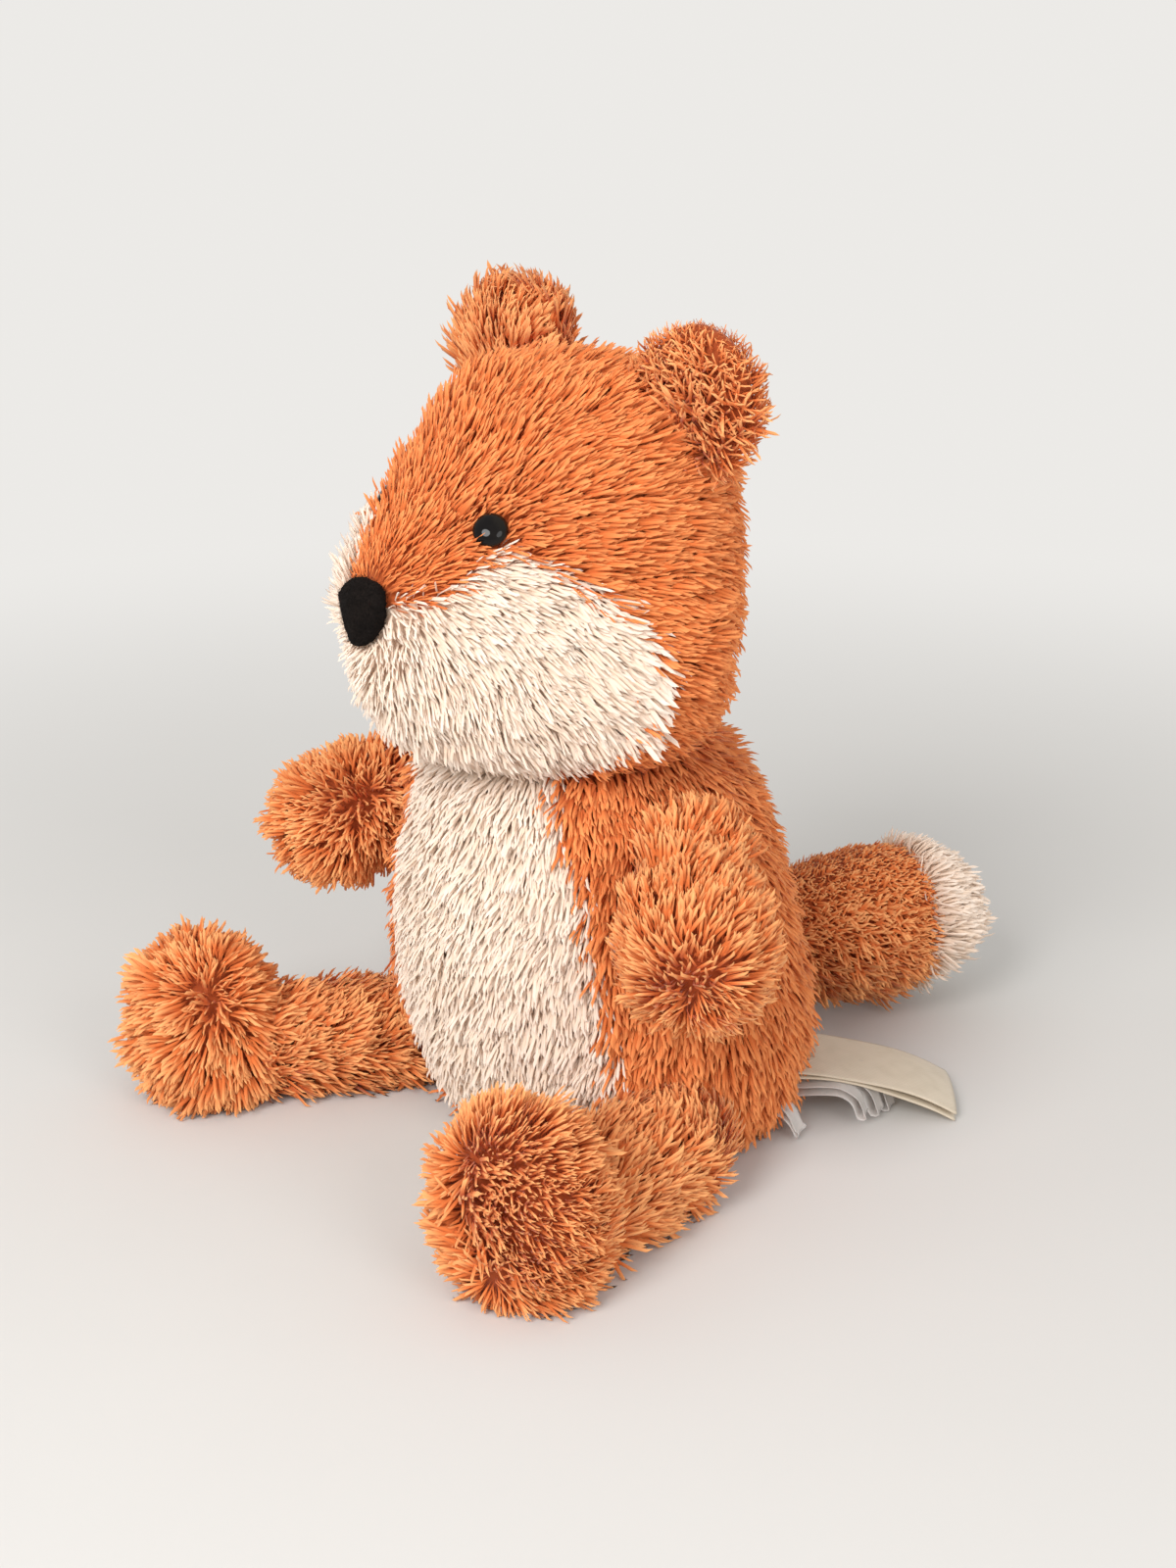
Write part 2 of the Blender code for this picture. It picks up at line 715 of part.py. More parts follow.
def foot_form(sides, every):
    """An upright foot at the end of a leg, with its height counted from the hip's."""
    floor = FLOOR_SINK - LEG_RADIUS
    rings = []
    for height, half_width, half_depth in FOOT_SHARES[::every]:
        depth = half_depth * FOOT_HALF_DEPTH
        rings.append(level_ring(
            floor + height * (FOOT_HEIGHT + FLOOR_SINK) - FLOOR_SINK,
            -LEG_LENGTH - FOOT_LEAN * height,
            half_width * FOOT_HALF_WIDTH,
            depth,
            depth,
            sides,
        ))
    return loft(rings, None, Vector((0, -LEG_LENGTH - FOOT_LEAN, floor + FOOT_HEIGHT)))


def make_leg(side, splay, place):
    """A leg tube that is cut by the foot at its end, both flat where they lie on the floor."""
    holder = joint_empty("hip_" + side, place, (0, 0, splay))
    floor = FLOOR_SINK - LEG_RADIUS
    foot = boolean(foot_form(FOOT_SIDES, 1), "DIFFERENCE", everything_below(floor))
    coarse_foot = foot_form(FOOT_SIDES // 2, 2)
    sizes = (LEG_RADIUS, LEG_SHARES, LEG_LENGTH, LEG_RADIUS)
    form = boolean(limb_form(*sizes, LEG_SIDES), "DIFFERENCE", everything_below(floor))
    coarse = limb_form(*sizes, LEG_SIDES // 2)
    linings = [lambda growth: grown(foot, growth)]
    cover, filling = sewn(form, coarse, limb_hole(LEG_RADIUS), linings)

    hole = rod((0, -LEG_LENGTH, 0), (0, -LEG_LENGTH + 2 * FOOT_HALF_DEPTH, 0), STUFFING_HOLE_RADIUS)
    foot_cover, foot_filling = sewn(foot, coarse_foot, hole)
    bpy.data.objects.remove(coarse)
    bpy.data.objects.remove(coarse_foot)
    named(cover, "leg_" + side, "orange_plush", holder)
    named(filling, "leg_stuffing_" + side, "fibre_filling", holder)
    named(foot_cover, "foot_" + side, "orange_plush", holder)
    named(foot_filling, "foot_pellets_" + side, "pellet_filling", holder)


def make_tail(place):
    """The tail, whose white tip is sewn on past a seam across it."""
    holder = joint_empty("tail_root", place, (0, 0, math.pi + TAIL_SWING))
    sizes = (TAIL_ROOT_RADIUS, TAIL_SHARES, TAIL_LENGTH, TAIL_RADIUS)
    form = limb_form(*sizes, TAIL_SIDES)
    coarse = limb_form(*sizes, TAIL_SIDES // 2)
    cover, filling = sewn(form, coarse, limb_hole(TAIL_ROOT_RADIUS))
    bpy.data.objects.remove(coarse)
    seam = TAIL_LENGTH - TAIL_TIP_LENGTH
    tip = boolean(copy_of(cover), "INTERSECT", everything_beyond(seam + GAP))
    boolean(cover, "DIFFERENCE", everything_beyond(seam))
    named(cover, "tail_cover", "orange_plush", holder)
    named(tip, "tail_tip", "white_plush", holder)
    named(filling, "tail_stuffing", "fibre_filling", holder)


def ribbon(line, across, width, thickness):
    """A strip of cloth along a line of (out, up) points. Its middle lies across from the seam's middle."""
    rings = []
    for k, (out, up) in enumerate(line):
        before = Vector(line[max(k - 1, 0)])
        after = Vector(line[min(k + 1, len(line) - 1)])
        along = (after - before).normalized()
        lift = Vector((-along.y, along.x)) * thickness / 2
        ring = []
        for edge, face in ((-1, -1), (1, -1), (1, 1), (-1, 1)):
            ring.append(Vector((across + edge * width / 2, out + face * lift.x, up + face * lift.y)))
        rings.append(ring)
    return loft(rings)


def drooping_line(length, drop, bend, steps, lift=0):
    """Points that leave the seam level and droop, starting in the depth of the seam."""
    line = [(-SEAM_DEPTH, lift)]
    for k in range(steps + 1):
        share = k / steps
        line.append((share * length, lift - drop * share ** bend))
    return line


def label_line(lift):
    return drooping_line(LABEL_LENGTH, LABEL_DROP, LABEL_BEND, LABEL_STEPS, lift)


def tape_line(length):
    """A tape that leaves the seam, folds round at its end and comes back under itself."""
    upper = drooping_line(length, TAPE_DROP, TAPE_BEND, TAPE_STEPS, TAPE_FOLD_RADIUS)
    lower = drooping_line(length, TAPE_DROP, TAPE_BEND, TAPE_STEPS, -TAPE_FOLD_RADIUS)
    end = (Vector(upper[-1]) + Vector(lower[-1])) / 2
    fold = []
    for k in range(1, TAPE_FOLD_STEPS):
        angle = math.pi / 2 - math.pi * k / TAPE_FOLD_STEPS
        fold.append((end.x + TAPE_FOLD_RADIUS * math.cos(angle), end.y + TAPE_FOLD_RADIUS * math.sin(angle)))
    return upper + fold + lower[::-1]


def seam_frame(torso, bearing):
    """A place in the seam round the seat, with Y pointing out of the skin."""
    towards = Vector((math.sin(bearing), -math.cos(bearing), 0))
    place, _ = skin_point(torso, Vector((0, 0, SEAM_HEIGHT)), towards)
    return Matrix.Translation(place) @ Matrix.Rotation(bearing - math.pi, 4, "Z")


def seam_slot(frame, up, width, thickness):
    """The opening that the seam leaves for what is sewn into it."""
    line = [(-SEAM_DEPTH - GAP, up), (SEAM_DEPTH, up)]
    slot = ribbon(line, 0, width + 2 * GAP, thickness + 2 * GAP)
    slot.data.transform(frame)
    return slot


def seam_slots(label_frame, tapes_frame, loop_frame):
    tapes = (TAPE_COUNT - 1) * TAPE_PITCH + TAPE_WIDTH
    fold = 2 * TAPE_FOLD_RADIUS + TAPE_THICKNESS
    return [
        seam_slot(label_frame, 0, LABEL_WIDTH, 2 * LABEL_THICKNESS + GAP),
        seam_slot(tapes_frame, -TAPE_SEAM_DROP, tapes, fold),
        seam_slot(loop_frame, -TAPE_SEAM_DROP, TAPE_WIDTH, fold),
    ]


def make_labels(label_frame, tapes_frame, loop_frame):
    """The woven label's two plies, the folded care tapes under it, and one more beside it."""
    for name, sign in (("label_upper", 1), ("label_lower", -1)):
        ply = ribbon(label_line(sign * (LABEL_THICKNESS + GAP) / 2), 0, LABEL_WIDTH, LABEL_THICKNESS)
        ply.data.transform(label_frame)
        named(ply, name, "woven_label")
    first = -(TAPE_COUNT - 1) * TAPE_PITCH / 2
    tapes = [(tapes_frame, first + k * TAPE_PITCH, TAPE_LENGTH) for k in range(TAPE_COUNT)]
    tapes.append((loop_frame, 0, LOOP_LENGTH))
    for k, (frame, across, length) in enumerate(tapes, 1):
        tape = ribbon(tape_line(length), across, TAPE_WIDTH, TAPE_THICKNESS)
        tape.data.transform(frame @ Matrix.Translation((0, 0, -TAPE_SEAM_DROP)))
        named(tape, f"care_tape_{k}", "care_tape")


def main():
    clear_scene()
    torso = torso_form(TORSO_SIDES, 1)
    places = roots(torso)
    frames = [seam_frame(torso, bearing) for bearing in (LABEL_BEARING, TAPES_BEARING, LOOP_BEARING)]
    make_torso(torso, places, seam_slots(*frames))
    make_labels(*frames)
    make_head()
    for side, sign in (("left", 1), ("right", -1)):
        make_arm(side, sign, places["arm_" + side][0])
    make_leg("left", LEG_SPLAY_LEFT, places["leg_left"][0])
    make_leg("right", -LEG_SPLAY_RIGHT, places["leg_right"][0])
    make_tail(places["tail"][0])


main()
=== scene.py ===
"""Looks of a plush fox: its pile, eyes, nose, label, tapes and a plain studio, laid out as an add-on."""

import json
import math
import random
from functools import partial

import bmesh
import bpy
import numpy as np
from bpy.props import FloatProperty, FloatVectorProperty, PointerProperty
from mathutils import Matrix, Vector, noise
from mathutils.bvhtree import BVHTree

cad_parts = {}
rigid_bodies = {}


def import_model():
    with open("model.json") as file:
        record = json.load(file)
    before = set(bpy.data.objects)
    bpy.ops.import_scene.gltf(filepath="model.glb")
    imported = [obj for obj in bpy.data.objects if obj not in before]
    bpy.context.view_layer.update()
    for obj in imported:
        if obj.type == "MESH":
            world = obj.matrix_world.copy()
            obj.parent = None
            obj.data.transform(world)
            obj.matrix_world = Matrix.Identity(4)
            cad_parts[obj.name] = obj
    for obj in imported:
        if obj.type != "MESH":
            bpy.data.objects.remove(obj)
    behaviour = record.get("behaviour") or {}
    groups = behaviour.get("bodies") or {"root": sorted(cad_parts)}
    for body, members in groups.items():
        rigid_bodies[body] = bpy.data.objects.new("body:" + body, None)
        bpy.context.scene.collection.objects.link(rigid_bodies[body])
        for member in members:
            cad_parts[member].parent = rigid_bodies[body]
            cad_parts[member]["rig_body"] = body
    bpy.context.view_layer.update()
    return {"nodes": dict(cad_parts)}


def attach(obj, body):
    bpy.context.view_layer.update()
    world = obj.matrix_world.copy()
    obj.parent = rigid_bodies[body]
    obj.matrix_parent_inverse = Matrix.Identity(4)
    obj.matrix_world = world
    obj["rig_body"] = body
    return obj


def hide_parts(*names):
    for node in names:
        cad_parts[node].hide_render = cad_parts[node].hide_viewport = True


bl_info = {
    "name": "Plush fox",
    "version": (1, 0, 0),
    "blender": (4, 5, 0),
    "location": "3D View > Sidebar > Plush fox",
    "description": "Dresses the sewn forms of a plush fox in pile, felt, plastic and tape",
    "category": "Object",
}

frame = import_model()
NODES = frame["nodes"]

UP = np.array((0.0, 0.0, 1.0))
DOWN = -UP
# The way to the right for one who looks at the toy from the front and its left
VIEW_RIGHT = np.array((0.7254, 0.6884, 0.0))

# Where the pile parts, in metres
NOSE_TIP = (-0.0012, -0.0675, 0.1235)
LEFT_PAW = ((0.0596, -0.0411, 0.0556), (0.0576, -0.0401, 0.0526))
RIGHT_PAW = ((-0.0400, -0.0318, 0.0702), (-0.0420, -0.0340, 0.0670))
LEFT_FOOT = ((0.0385, -0.0785, 0.0300), (0.0460, -0.0785, 0.0090))
LEFT_SOLE = ((0.0550, -0.0740, 0.0190),)
RIGHT_FOOT = ((-0.0559, -0.0653, 0.0294), (-0.0540, -0.0650, 0.0262))
LEFT_HIP = (0.0395, -0.0229, 0.0100)
RIGHT_HIP = (-0.0395, -0.0229, 0.0100)
LEFT_EAR_FACE = np.array((0.05, -0.99, 0.10))
LABEL_WIDTH = 0.021
TAPE_WIDTH = 0.0046
# How far each long tape swings out from under the label, in degrees, and its share of its length
TAPE_TURNS = {1: (-15, 1.28), 2: (-12, 1.14), 3: (-8, 0.98)}
TAPE_SAG = 0.0046
TAPE_BEND = math.radians(66)
# Where the lamps stand, how wide they are, and where the floor fades into the backdrop
KEY_PLACE = (0.20, -0.86, 0.66)
FILL_PLACE = (0.85, -0.25, 0.45)
LAMP_AIM = (0, -0.02, 0.08)
LAMP_SIZE = 0.5
FLOOR_FADE = (0.12, 0.60)
FLOOR_RADIUS = 8.0
TAIL_ROOT = (0.0, 0.0488, 0.0245)
TAIL_LINE = np.array((0.4226, 0.9063, 0.0))

BODY_PARTS = ("body_cover", "belly_panel", "body_stuffing", "pellet_bag")
HEAD_PARTS = ("head_cover", "muzzle_panel", "head_stuffing")
MERGE = 1e-6
FLOOR_GAP = 0.0003
TUFTED = {"tuft": 2.0, "gather": 0.95, "smallest": 0.70, "largest": 1.30}
CURLED = {"tuft": 1.4, "gather": 0.55, "smallest": 0.70, "largest": 1.25, "spacing": 0.00050}
FANNED = {"tuft": 2.2, "gather": 0.60, "smallest": 0.70, "largest": 1.25}
DENSE = {"spacing": 0.00044, "gather": 0.34}
# How strongly the pile sways, and over what distance
COMB_WAVES = ((0.42, 0.0075), (0.26, 0.0032))
SEEDS = {"body": 11, "head": 23, "ear": 37, "arm": 41, "leg": 53, "tail": 67, "nose": 71, "lock": 83,
         "waves": 89}


def number(name, description, default, **limits):
    return FloatProperty(name=name, description=description, default=default, **limits)


def length(name, description, default, low, high):
    return number(name, description, default, min=low, max=high, unit="LENGTH")


def colour(name, description, *default):
    return FloatVectorProperty(
        name=name, description=description, default=default, min=0, max=1, size=3, subtype="COLOR")


class PlushSizes(bpy.types.PropertyGroup):
    """Sizes of the pile and of the pieces sewn to it."""

    pile_length: length("Pile length", "Length of a lock on the body and legs", 0.0074, 0.002, 0.02)
    tuft_length: length("Tuft length", "Length of a lock on the feet and arms", 0.0064, 0.002, 0.02)
    root_spacing: length("Root spacing", "Least distance between two locks' roots", 0.00051, 0.0004, 0.004)
    lock_width: number("Lock width", "Width of a lock as a share of its length", 0.103, min=0.02, max=0.5,
                       subtype="FACTOR")
    tuft_width: length("Tuft width", "Distance between the small tufts of locks", 0.0017, 0.0005, 0.01)
    backing_depth: length("Backing depth", "How far the cloth lies under the sewn form", 0.0010, 0.0, 0.002)
    backing_thickness: length("Backing thickness", "Thickness of the cloth behind the pile", 0.0009, 0.0003, 0.002)
    backing_step: length("Backing step", "Size of the backing's faces", 0.0014, 0.0008, 0.005)
    ply_thickness: length("Ply thickness", "Thickness of one ply of the woven label", 0.00035, 0.0001, 0.001)
    tape_thickness: length("Tape thickness", "Thickness of a satin tape", 0.00018, 0.0001, 0.001)
    felt_fuzz: length("Felt fuzz", "Length of the fibres that stand on the nose", 0.0009, 0.0002, 0.003)


class PlushColours(bpy.types.PropertyGroup):
    """Colours of the toy's cloths and fittings."""

    # The three root colours are darker partly as painted shade deep in the pile and on the backing between the locks
    orange_root: colour("Orange root", "Orange pile at its root", 0.520, 0.112, 0.026)
    orange_body: colour("Orange", "Orange pile along a lock", 0.760, 0.192, 0.047)
    orange_tip: colour("Orange tip", "Orange pile at a lock's tip", 0.900, 0.320, 0.105)
    tuft_root: colour("Tuft root", "Root of the limbs', ears' and tail's pile", 0.400, 0.078, 0.018)
    tuft_tip: colour("Tuft tip", "Tip of the limbs', ears' and tail's pile", 0.930, 0.430, 0.165)
    white_root: colour("White root", "White pile at its root", 0.820, 0.625, 0.490)
    white_body: colour("White", "White pile along a lock", 0.888, 0.713, 0.572)
    white_tip: colour("White tip", "White pile at a lock's tip", 0.925, 0.785, 0.672)
    felt: colour("Felt", "The nose's felt", 0.006, 0.0045, 0.004)
    plastic: colour("Eye plastic", "The eyes", 0.004, 0.003, 0.003)
    label: colour("Label", "The woven label", 0.715, 0.620, 0.485)
    tape: colour("Tape", "The satin tapes", 0.860, 0.830, 0.800)
    floor: colour("Floor", "The studio's floor near the toy", 0.680, 0.668, 0.648)
    backdrop: colour("Backdrop", "What lies behind the toy and far off on the floor", 0.840, 0.825, 0.800)


class StudioSizes(bpy.types.PropertyGroup):
    """Where the camera stands, and how strong the light is."""

    bearing: number("Bearing", "Turn of the camera round the toy from its front", math.radians(43.5), subtype="ANGLE")
    pitch: number("Pitch", "How far the camera looks down", math.radians(18.8), subtype="ANGLE")
    distance: number("Distance", "Level distance from the toy to the camera", 0.422, min=0.1, unit="LENGTH")
    aside: number("Aside", "How far the camera stands to its left", 0.004, unit="LENGTH")
    height: number("Height", "Height of the camera over the floor", 0.217, min=0.0, unit="LENGTH")
    lens: number("Lens", "Focal length in millimetres on a 36 mm wide sensor", 48.0, min=10.0)
    key_power: number("Key light", "Power of the large lamp in watts", 8.2, min=0.0)
    fill_power: number("Fill light", "Power of the second lamp in watts", 2.2, min=0.0)
    sky: number("Sky", "Strength of the even light from all round", 0.64, min=0.0)


def sizes():
    return bpy.context.scene.plush_sizes


def colours():
    return bpy.context.scene.plush_colours


# ---------------------------------------------------------------- node trees


class Wire:
    """An output of a node tree. Arithmetic on it adds Math nodes."""

    def __init__(self, tree, node, output=0):
        self.tree, self.node, self.socket = tree, node, node.outputs[output]

    def __getitem__(self, output):
        return Wire(self.tree, self.node, output)

    def math(self, operation, *values):
        return add(self.tree, "ShaderNodeMath", {"operation": operation}, dict(enumerate(values)))

    def __add__(self, other):
        return self.math("ADD", self, other)

    def __sub__(self, other):
        return self.math("SUBTRACT", self, other)

    def __mul__(self, other):
        return self.math("MULTIPLY", self, other)

    __radd__ = __add__

    def __rsub__(self, other):
        return self.math("SUBTRACT", other, self)

    def least(self, other):
        return self.math("MAXIMUM", self, other)


def plug(node, sockets):
    """Gives a node's inputs their values or wires."""
    for name, value in sockets.items():
        if isinstance(value, Wire):
            node.id_data.links.new(value.socket, node.inputs[name])
        else:
            node.inputs[name].default_value = value


def add(tree, kind, settings=None, sockets=None, output=0):
    """Adds a node: its settings first, then its inputs."""
    node = tree.nodes.new(kind)
    for name, value in (settings or {}).items():
        setattr(node, name, value)
    plug(node, sockets or {})
    return Wire(tree, node, output) if node.outputs else None


def parts_of(tree, vector):
    return add(tree, "ShaderNodeSeparateXYZ", None, {"Vector": vector})


def vector_of(tree, x, y, z):
    return add(tree, "ShaderNodeCombineXYZ", None, {"X": x, "Y": y, "Z": z})


def finish_material(tree, sockets, bump=None, strength=0.3, distance=0.0005):
    """Ends a finish in its shader, with an even bump where one is given."""
    if bump is not None:
        relief = {"Strength": strength, "Distance": distance, "Height": bump}
        sockets = {**sockets, "Normal": add(tree, "ShaderNodeBump", None, relief)}
    add(tree, "ShaderNodeOutputMaterial", None, {"Surface": add(tree, "ShaderNodeBsdfPrincipled", None, sockets)})


def mixed(tree, share, first, second, kind="MIX"):
    """A colour between two, by share. Each is a wire or three numbers."""
    first, second = (value if isinstance(value, Wire) else (*value, 1.0) for value in (first, second))
    return add(tree, "ShaderNodeMix", {"data_type": "RGBA", "blend_type": kind}, {0: share, 6: first, 7: second}, 2)


def ramp_between(tree, value, low, high):
    """0 where value is under low, 1 over high, smooth between."""
    return add(tree, "ShaderNodeMapRange", {"interpolation_type": "SMOOTHSTEP"}, {
        "Value": value, "From Min": low, "From Max": high})


def object_noise(tree, scale, detail=3.0, rough=0.55):
    place = add(tree, "ShaderNodeTexCoord", output="Object")
    return add(tree, "ShaderNodeTexNoise", None, {
        "Vector": place, "Scale": scale, "Detail": detail, "Roughness": rough})


FINISHES = {}
# Colours that darken locks of low tone at random, and always the backing between the locks, as painted shade in the
# gaps
ORANGE_SHADE = (0.60, 0.42, 0.34)
WHITE_SHADE = (0.84, 0.76, 0.68)


def listed(fill):
    """Lists a finish by the name of the function that fills its material's tree."""
    FINISHES[fill.__name__] = fill
    return fill


def finish(name):
    """The named finish, made when it is first asked for."""
    whole = name + "_finish"
    if whole not in bpy.data.materials:
        material = bpy.data.materials.new(whole)
        material.use_nodes = True
        material.node_tree.nodes.clear()
        FINISHES[name](material.node_tree)
    return bpy.data.materials[whole]


def plush(tree, root, body, tip, shade):
    """Pile whose locks go from a dark root to a light tip, each with its own tone and fine streaks."""
    split = parts_of(tree, add(tree, "ShaderNodeUVMap", {"uv_map": "strand"}))
    along = split["Y"]
    tone = add(tree, "ShaderNodeAttribute", {"attribute_name": "tone"}, output="Fac")
    patches = object_noise(tree, 55.0)
    stretched = vector_of(tree, split["X"] * 7.0, along * 1.4, tone * 40.0)
    streaks = add(tree, "ShaderNodeTexNoise", None, {"Vector": stretched, "Scale": 1.6, "Detail": 2.0})
    reach = along + (tone - 0.5) * 0.25 + (streaks - 0.5) * 0.35
    low = mixed(tree, ramp_between(tree, reach, 0.02, 0.42), root, body)
    whole = mixed(tree, ramp_between(tree, reach, 0.45, 1.0), low, tip)
    # The backing has no tone and no strand, so it takes the root colour and the darkest shade: painted shade between
    # the locks
    dark = ramp_between(tree, tone * 0.6 + patches * 0.7 + streaks * 0.35, 1.05, 0.55)
    finish_material(tree, {
        "Base Color": mixed(tree, dark * 0.34, whole, shade, "MULTIPLY"), "Roughness": 0.82,
        "Specular IOR Level": 0.2, "Sheen Weight": 0.12, "Sheen Roughness": 0.45},
        bump=streaks, strength=0.25, distance=0.0002)


@listed
def orange_plush(tree):
    tint = colours()
    plush(tree, tint.orange_root, tint.orange_body, tint.orange_tip, ORANGE_SHADE)


@listed
def tufted_plush(tree):
    tint = colours()
    plush(tree, tint.tuft_root, tint.orange_body, tint.tuft_tip, ORANGE_SHADE)


@listed
def white_plush(tree):
    tint = colours()
    plush(tree, tint.white_root, tint.white_body, tint.white_tip, WHITE_SHADE)

# Makes every piece in order, and removes the single locks that the pile was made from.

@listed
def nose_felt(tree):
    """Black felt: matted fibres that catch a little light."""
    fibres = object_noise(tree, 2600.0, 4.0, 0.7)
    # Lighter where the fibres stand high: painted sheen; the coarser noise is a random mottle
    sheen_and_mottle = ramp_between(tree, fibres * 0.7 + object_noise(tree, 300.0) * 0.5, 0.5, 0.85)
    finish_material(tree, {
        "Base Color": mixed(tree, sheen_and_mottle, colours().felt, (0.018, 0.013, 0.011)), "Roughness": 0.95,
        "Specular IOR Level": 0.08}, bump=fibres, strength=0.8, distance=0.0003)


@listed
def eye_plastic(tree):
    """Glossy black plastic with the faint flow marks and dust of a moulded dome."""
    dust = ramp_between(tree, object_noise(tree, 1800.0, 5.0, 0.7), 0.64, 0.84)
    flow = object_noise(tree, 220.0)
    finish_material(tree, {
        "Base Color": mixed(tree, ramp_between(tree, flow, 0.35, 0.75), colours().plastic, (0.010, 0.008, 0.006)),
        "Roughness": 0.02 + dust * 0.10, "Specular IOR Level": 0.30, "IOR": 1.4},
        bump=flow, strength=0.02, distance=0.0001)


def weave_steps(tree):
    """How far across and along its strip a place lies, in metres."""
    return parts_of(tree, add(tree, "ShaderNodeUVMap", {"uv_map": "weave"}))


@listed
def woven_label(tree):
    """Ivory satin weave: fine ribs across, a closer pair of threads along, and a soiled edge."""
    place = weave_steps(tree)
    warp = (place["X"] * 5200.0).math("SINE", place["X"] * 5200.0)
    weft = (place["Y"] * 6800.0).math("SINE", place["Y"] * 6800.0)
    threads = warp * weft * 0.5 + 0.5
    soil = ramp_between(tree, object_noise(tree, 260.0), 0.35, 0.8)
    base = mixed(tree, soil * 0.5, colours().label, (0.58, 0.49, 0.36))
    finish_material(tree, {
        "Base Color": mixed(tree, threads * 0.22, base, (0.45, 0.38, 0.28)), "Roughness": 0.62,
        "Sheen Weight": 0.2, "Sheen Roughness": 0.4}, bump=threads, strength=0.35, distance=0.0001)


@listed
def satin_tape(tree):
    """Milky satin that lets some light through, with fine ribs along it."""
    across = weave_steps(tree)["X"]
    ribs = across.math("SINE", across * 9000.0) * 0.5 + 0.5
    cloud = object_noise(tree, 420.0)
    finish_material(tree, {
        "Base Color": mixed(tree, cloud * 0.5, colours().tape, (0.70, 0.62, 0.58)),
        "Roughness": 0.34 + ribs * 0.12, "Alpha": 0.44 + cloud * 0.28,
        "Sheen Weight": 0.3, "Sheen Roughness": 0.3}, bump=ribs, strength=0.2, distance=0.00005)


@listed
def washer_plastic(tree):
    """Milky plastic, a little cloudy."""
    cloud = object_noise(tree, 700.0)
    finish_material(tree, {
        "Base Color": mixed(tree, cloud, (0.62, 0.60, 0.56), (0.80, 0.79, 0.76)),
        "Roughness": 0.35 + cloud * 0.25}, bump=cloud, strength=0.1)


@listed
def fibre_filling(tree):
    """White crimped fibre."""
    fibres = object_noise(tree, 1500.0, 6.0, 0.8)
    # Darker where the fibres' bump is low: painted shade in the hollows, mixed with a coarse mottle
    mottle_and_shade = fibres * 0.6 + object_noise(tree, 160.0) * 0.4
    finish_material(tree, {
        "Base Color": mixed(tree, mottle_and_shade, (0.62, 0.61, 0.58), (0.92, 0.91, 0.89)),
        "Roughness": 0.9, "Sheen Weight": 0.4}, bump=fibres, strength=0.8)


@listed
def pellet_filling(tree):
    """Small plastic beads that show as bumps through their thin bag."""
    place = add(tree, "ShaderNodeTexCoord", output="Object")
    beads = add(tree, "ShaderNodeTexVoronoi", None, {"Vector": place, "Scale": 420.0})
    finish_material(tree, {
        # Darker towards the edges of each bead: painted shade in the hollows between beads
        "Base Color": mixed(tree, ramp_between(tree, beads, 0.1, 0.6), (0.82, 0.81, 0.78), (0.50, 0.49, 0.46)),
        "Roughness": 0.5}, bump=1.0 - beads, strength=0.9, distance=0.001)


@listed
def studio_floor(tree):
    """A matt pale table top with a faint mottle, which fades into the backdrop far off."""
    mottle = object_noise(tree, 14.0) * 0.8 + object_noise(tree, 900.0) * 0.2
    near = mixed(tree, mottle, colours().floor, [min(1.0, value * 1.04) for value in colours().floor])
    place = add(tree, "ShaderNodeTexCoord", output="Object")
    away = add(tree, "ShaderNodeVectorMath", {"operation": "LENGTH"}, {0: place}, "Value")
    far = ramp_between(tree, away, *FLOOR_FADE)
    black = (0.0, 0.0, 0.0)
    finish_material(tree, {
        "Base Color": mixed(tree, far, near, black),
        "Emission Color": mixed(tree, far, black, colours().backdrop), "Emission Strength": 1.0,
        "Roughness": 0.9, "Specular IOR Level": 0.0})


# ---------------------------------------------------------------- meshes


def unit(vectors):
    return vectors / np.maximum(np.linalg.norm(vectors, axis=-1, keepdims=True), 1e-9)


def smooth_step(value, low, high):
    share = np.clip((value - low) / (high - low), 0, 1)
    return share * share * (3 - 2 * share)


def new_object(name, mesh):
    thing = bpy.data.objects.new(name, mesh)
    bpy.context.scene.collection.objects.link(thing)
    return thing


def mesh_from(name, points, faces):
    mesh = bpy.data.meshes.new(name)
    mesh.from_pydata([tuple(p) for p in points], [], [tuple(f) for f in faces])
    mesh.update()
    mesh.shade_smooth()
    return mesh


def merged(names):
    """The named solids in one mesh, each with its corners merged."""
    joined = bmesh.new()
    for name in names:
        joined.from_mesh(NODES[name].data)
    bmesh.ops.remove_doubles(joined, verts=joined.verts, dist=MERGE)
    return joined


def tree_of(names):
    joined = merged(names)
    made = BVHTree.FromBMesh(joined)
    joined.free()
    return made


def applied(thing):
    """The mesh that an object's modifiers give it. The object goes."""
    graph = bpy.context.evaluated_depsgraph_get()
    mesh = bpy.data.meshes.new_from_object(thing.evaluated_get(graph), depsgraph=graph)
    old = thing.data
    bpy.data.objects.remove(thing)
    bpy.data.meshes.remove(old)
    return mesh


def quads_of(mesh):
    points = np.zeros(len(mesh.vertices) * 3, np.float32)
    mesh.vertices.foreach_get("co", points)
    corners = np.zeros(len(mesh.loops), np.int32)
    mesh.loops.foreach_get("vertex_index", corners)
    return points.reshape(-1, 3).astype(float), corners.reshape(-1, 4)


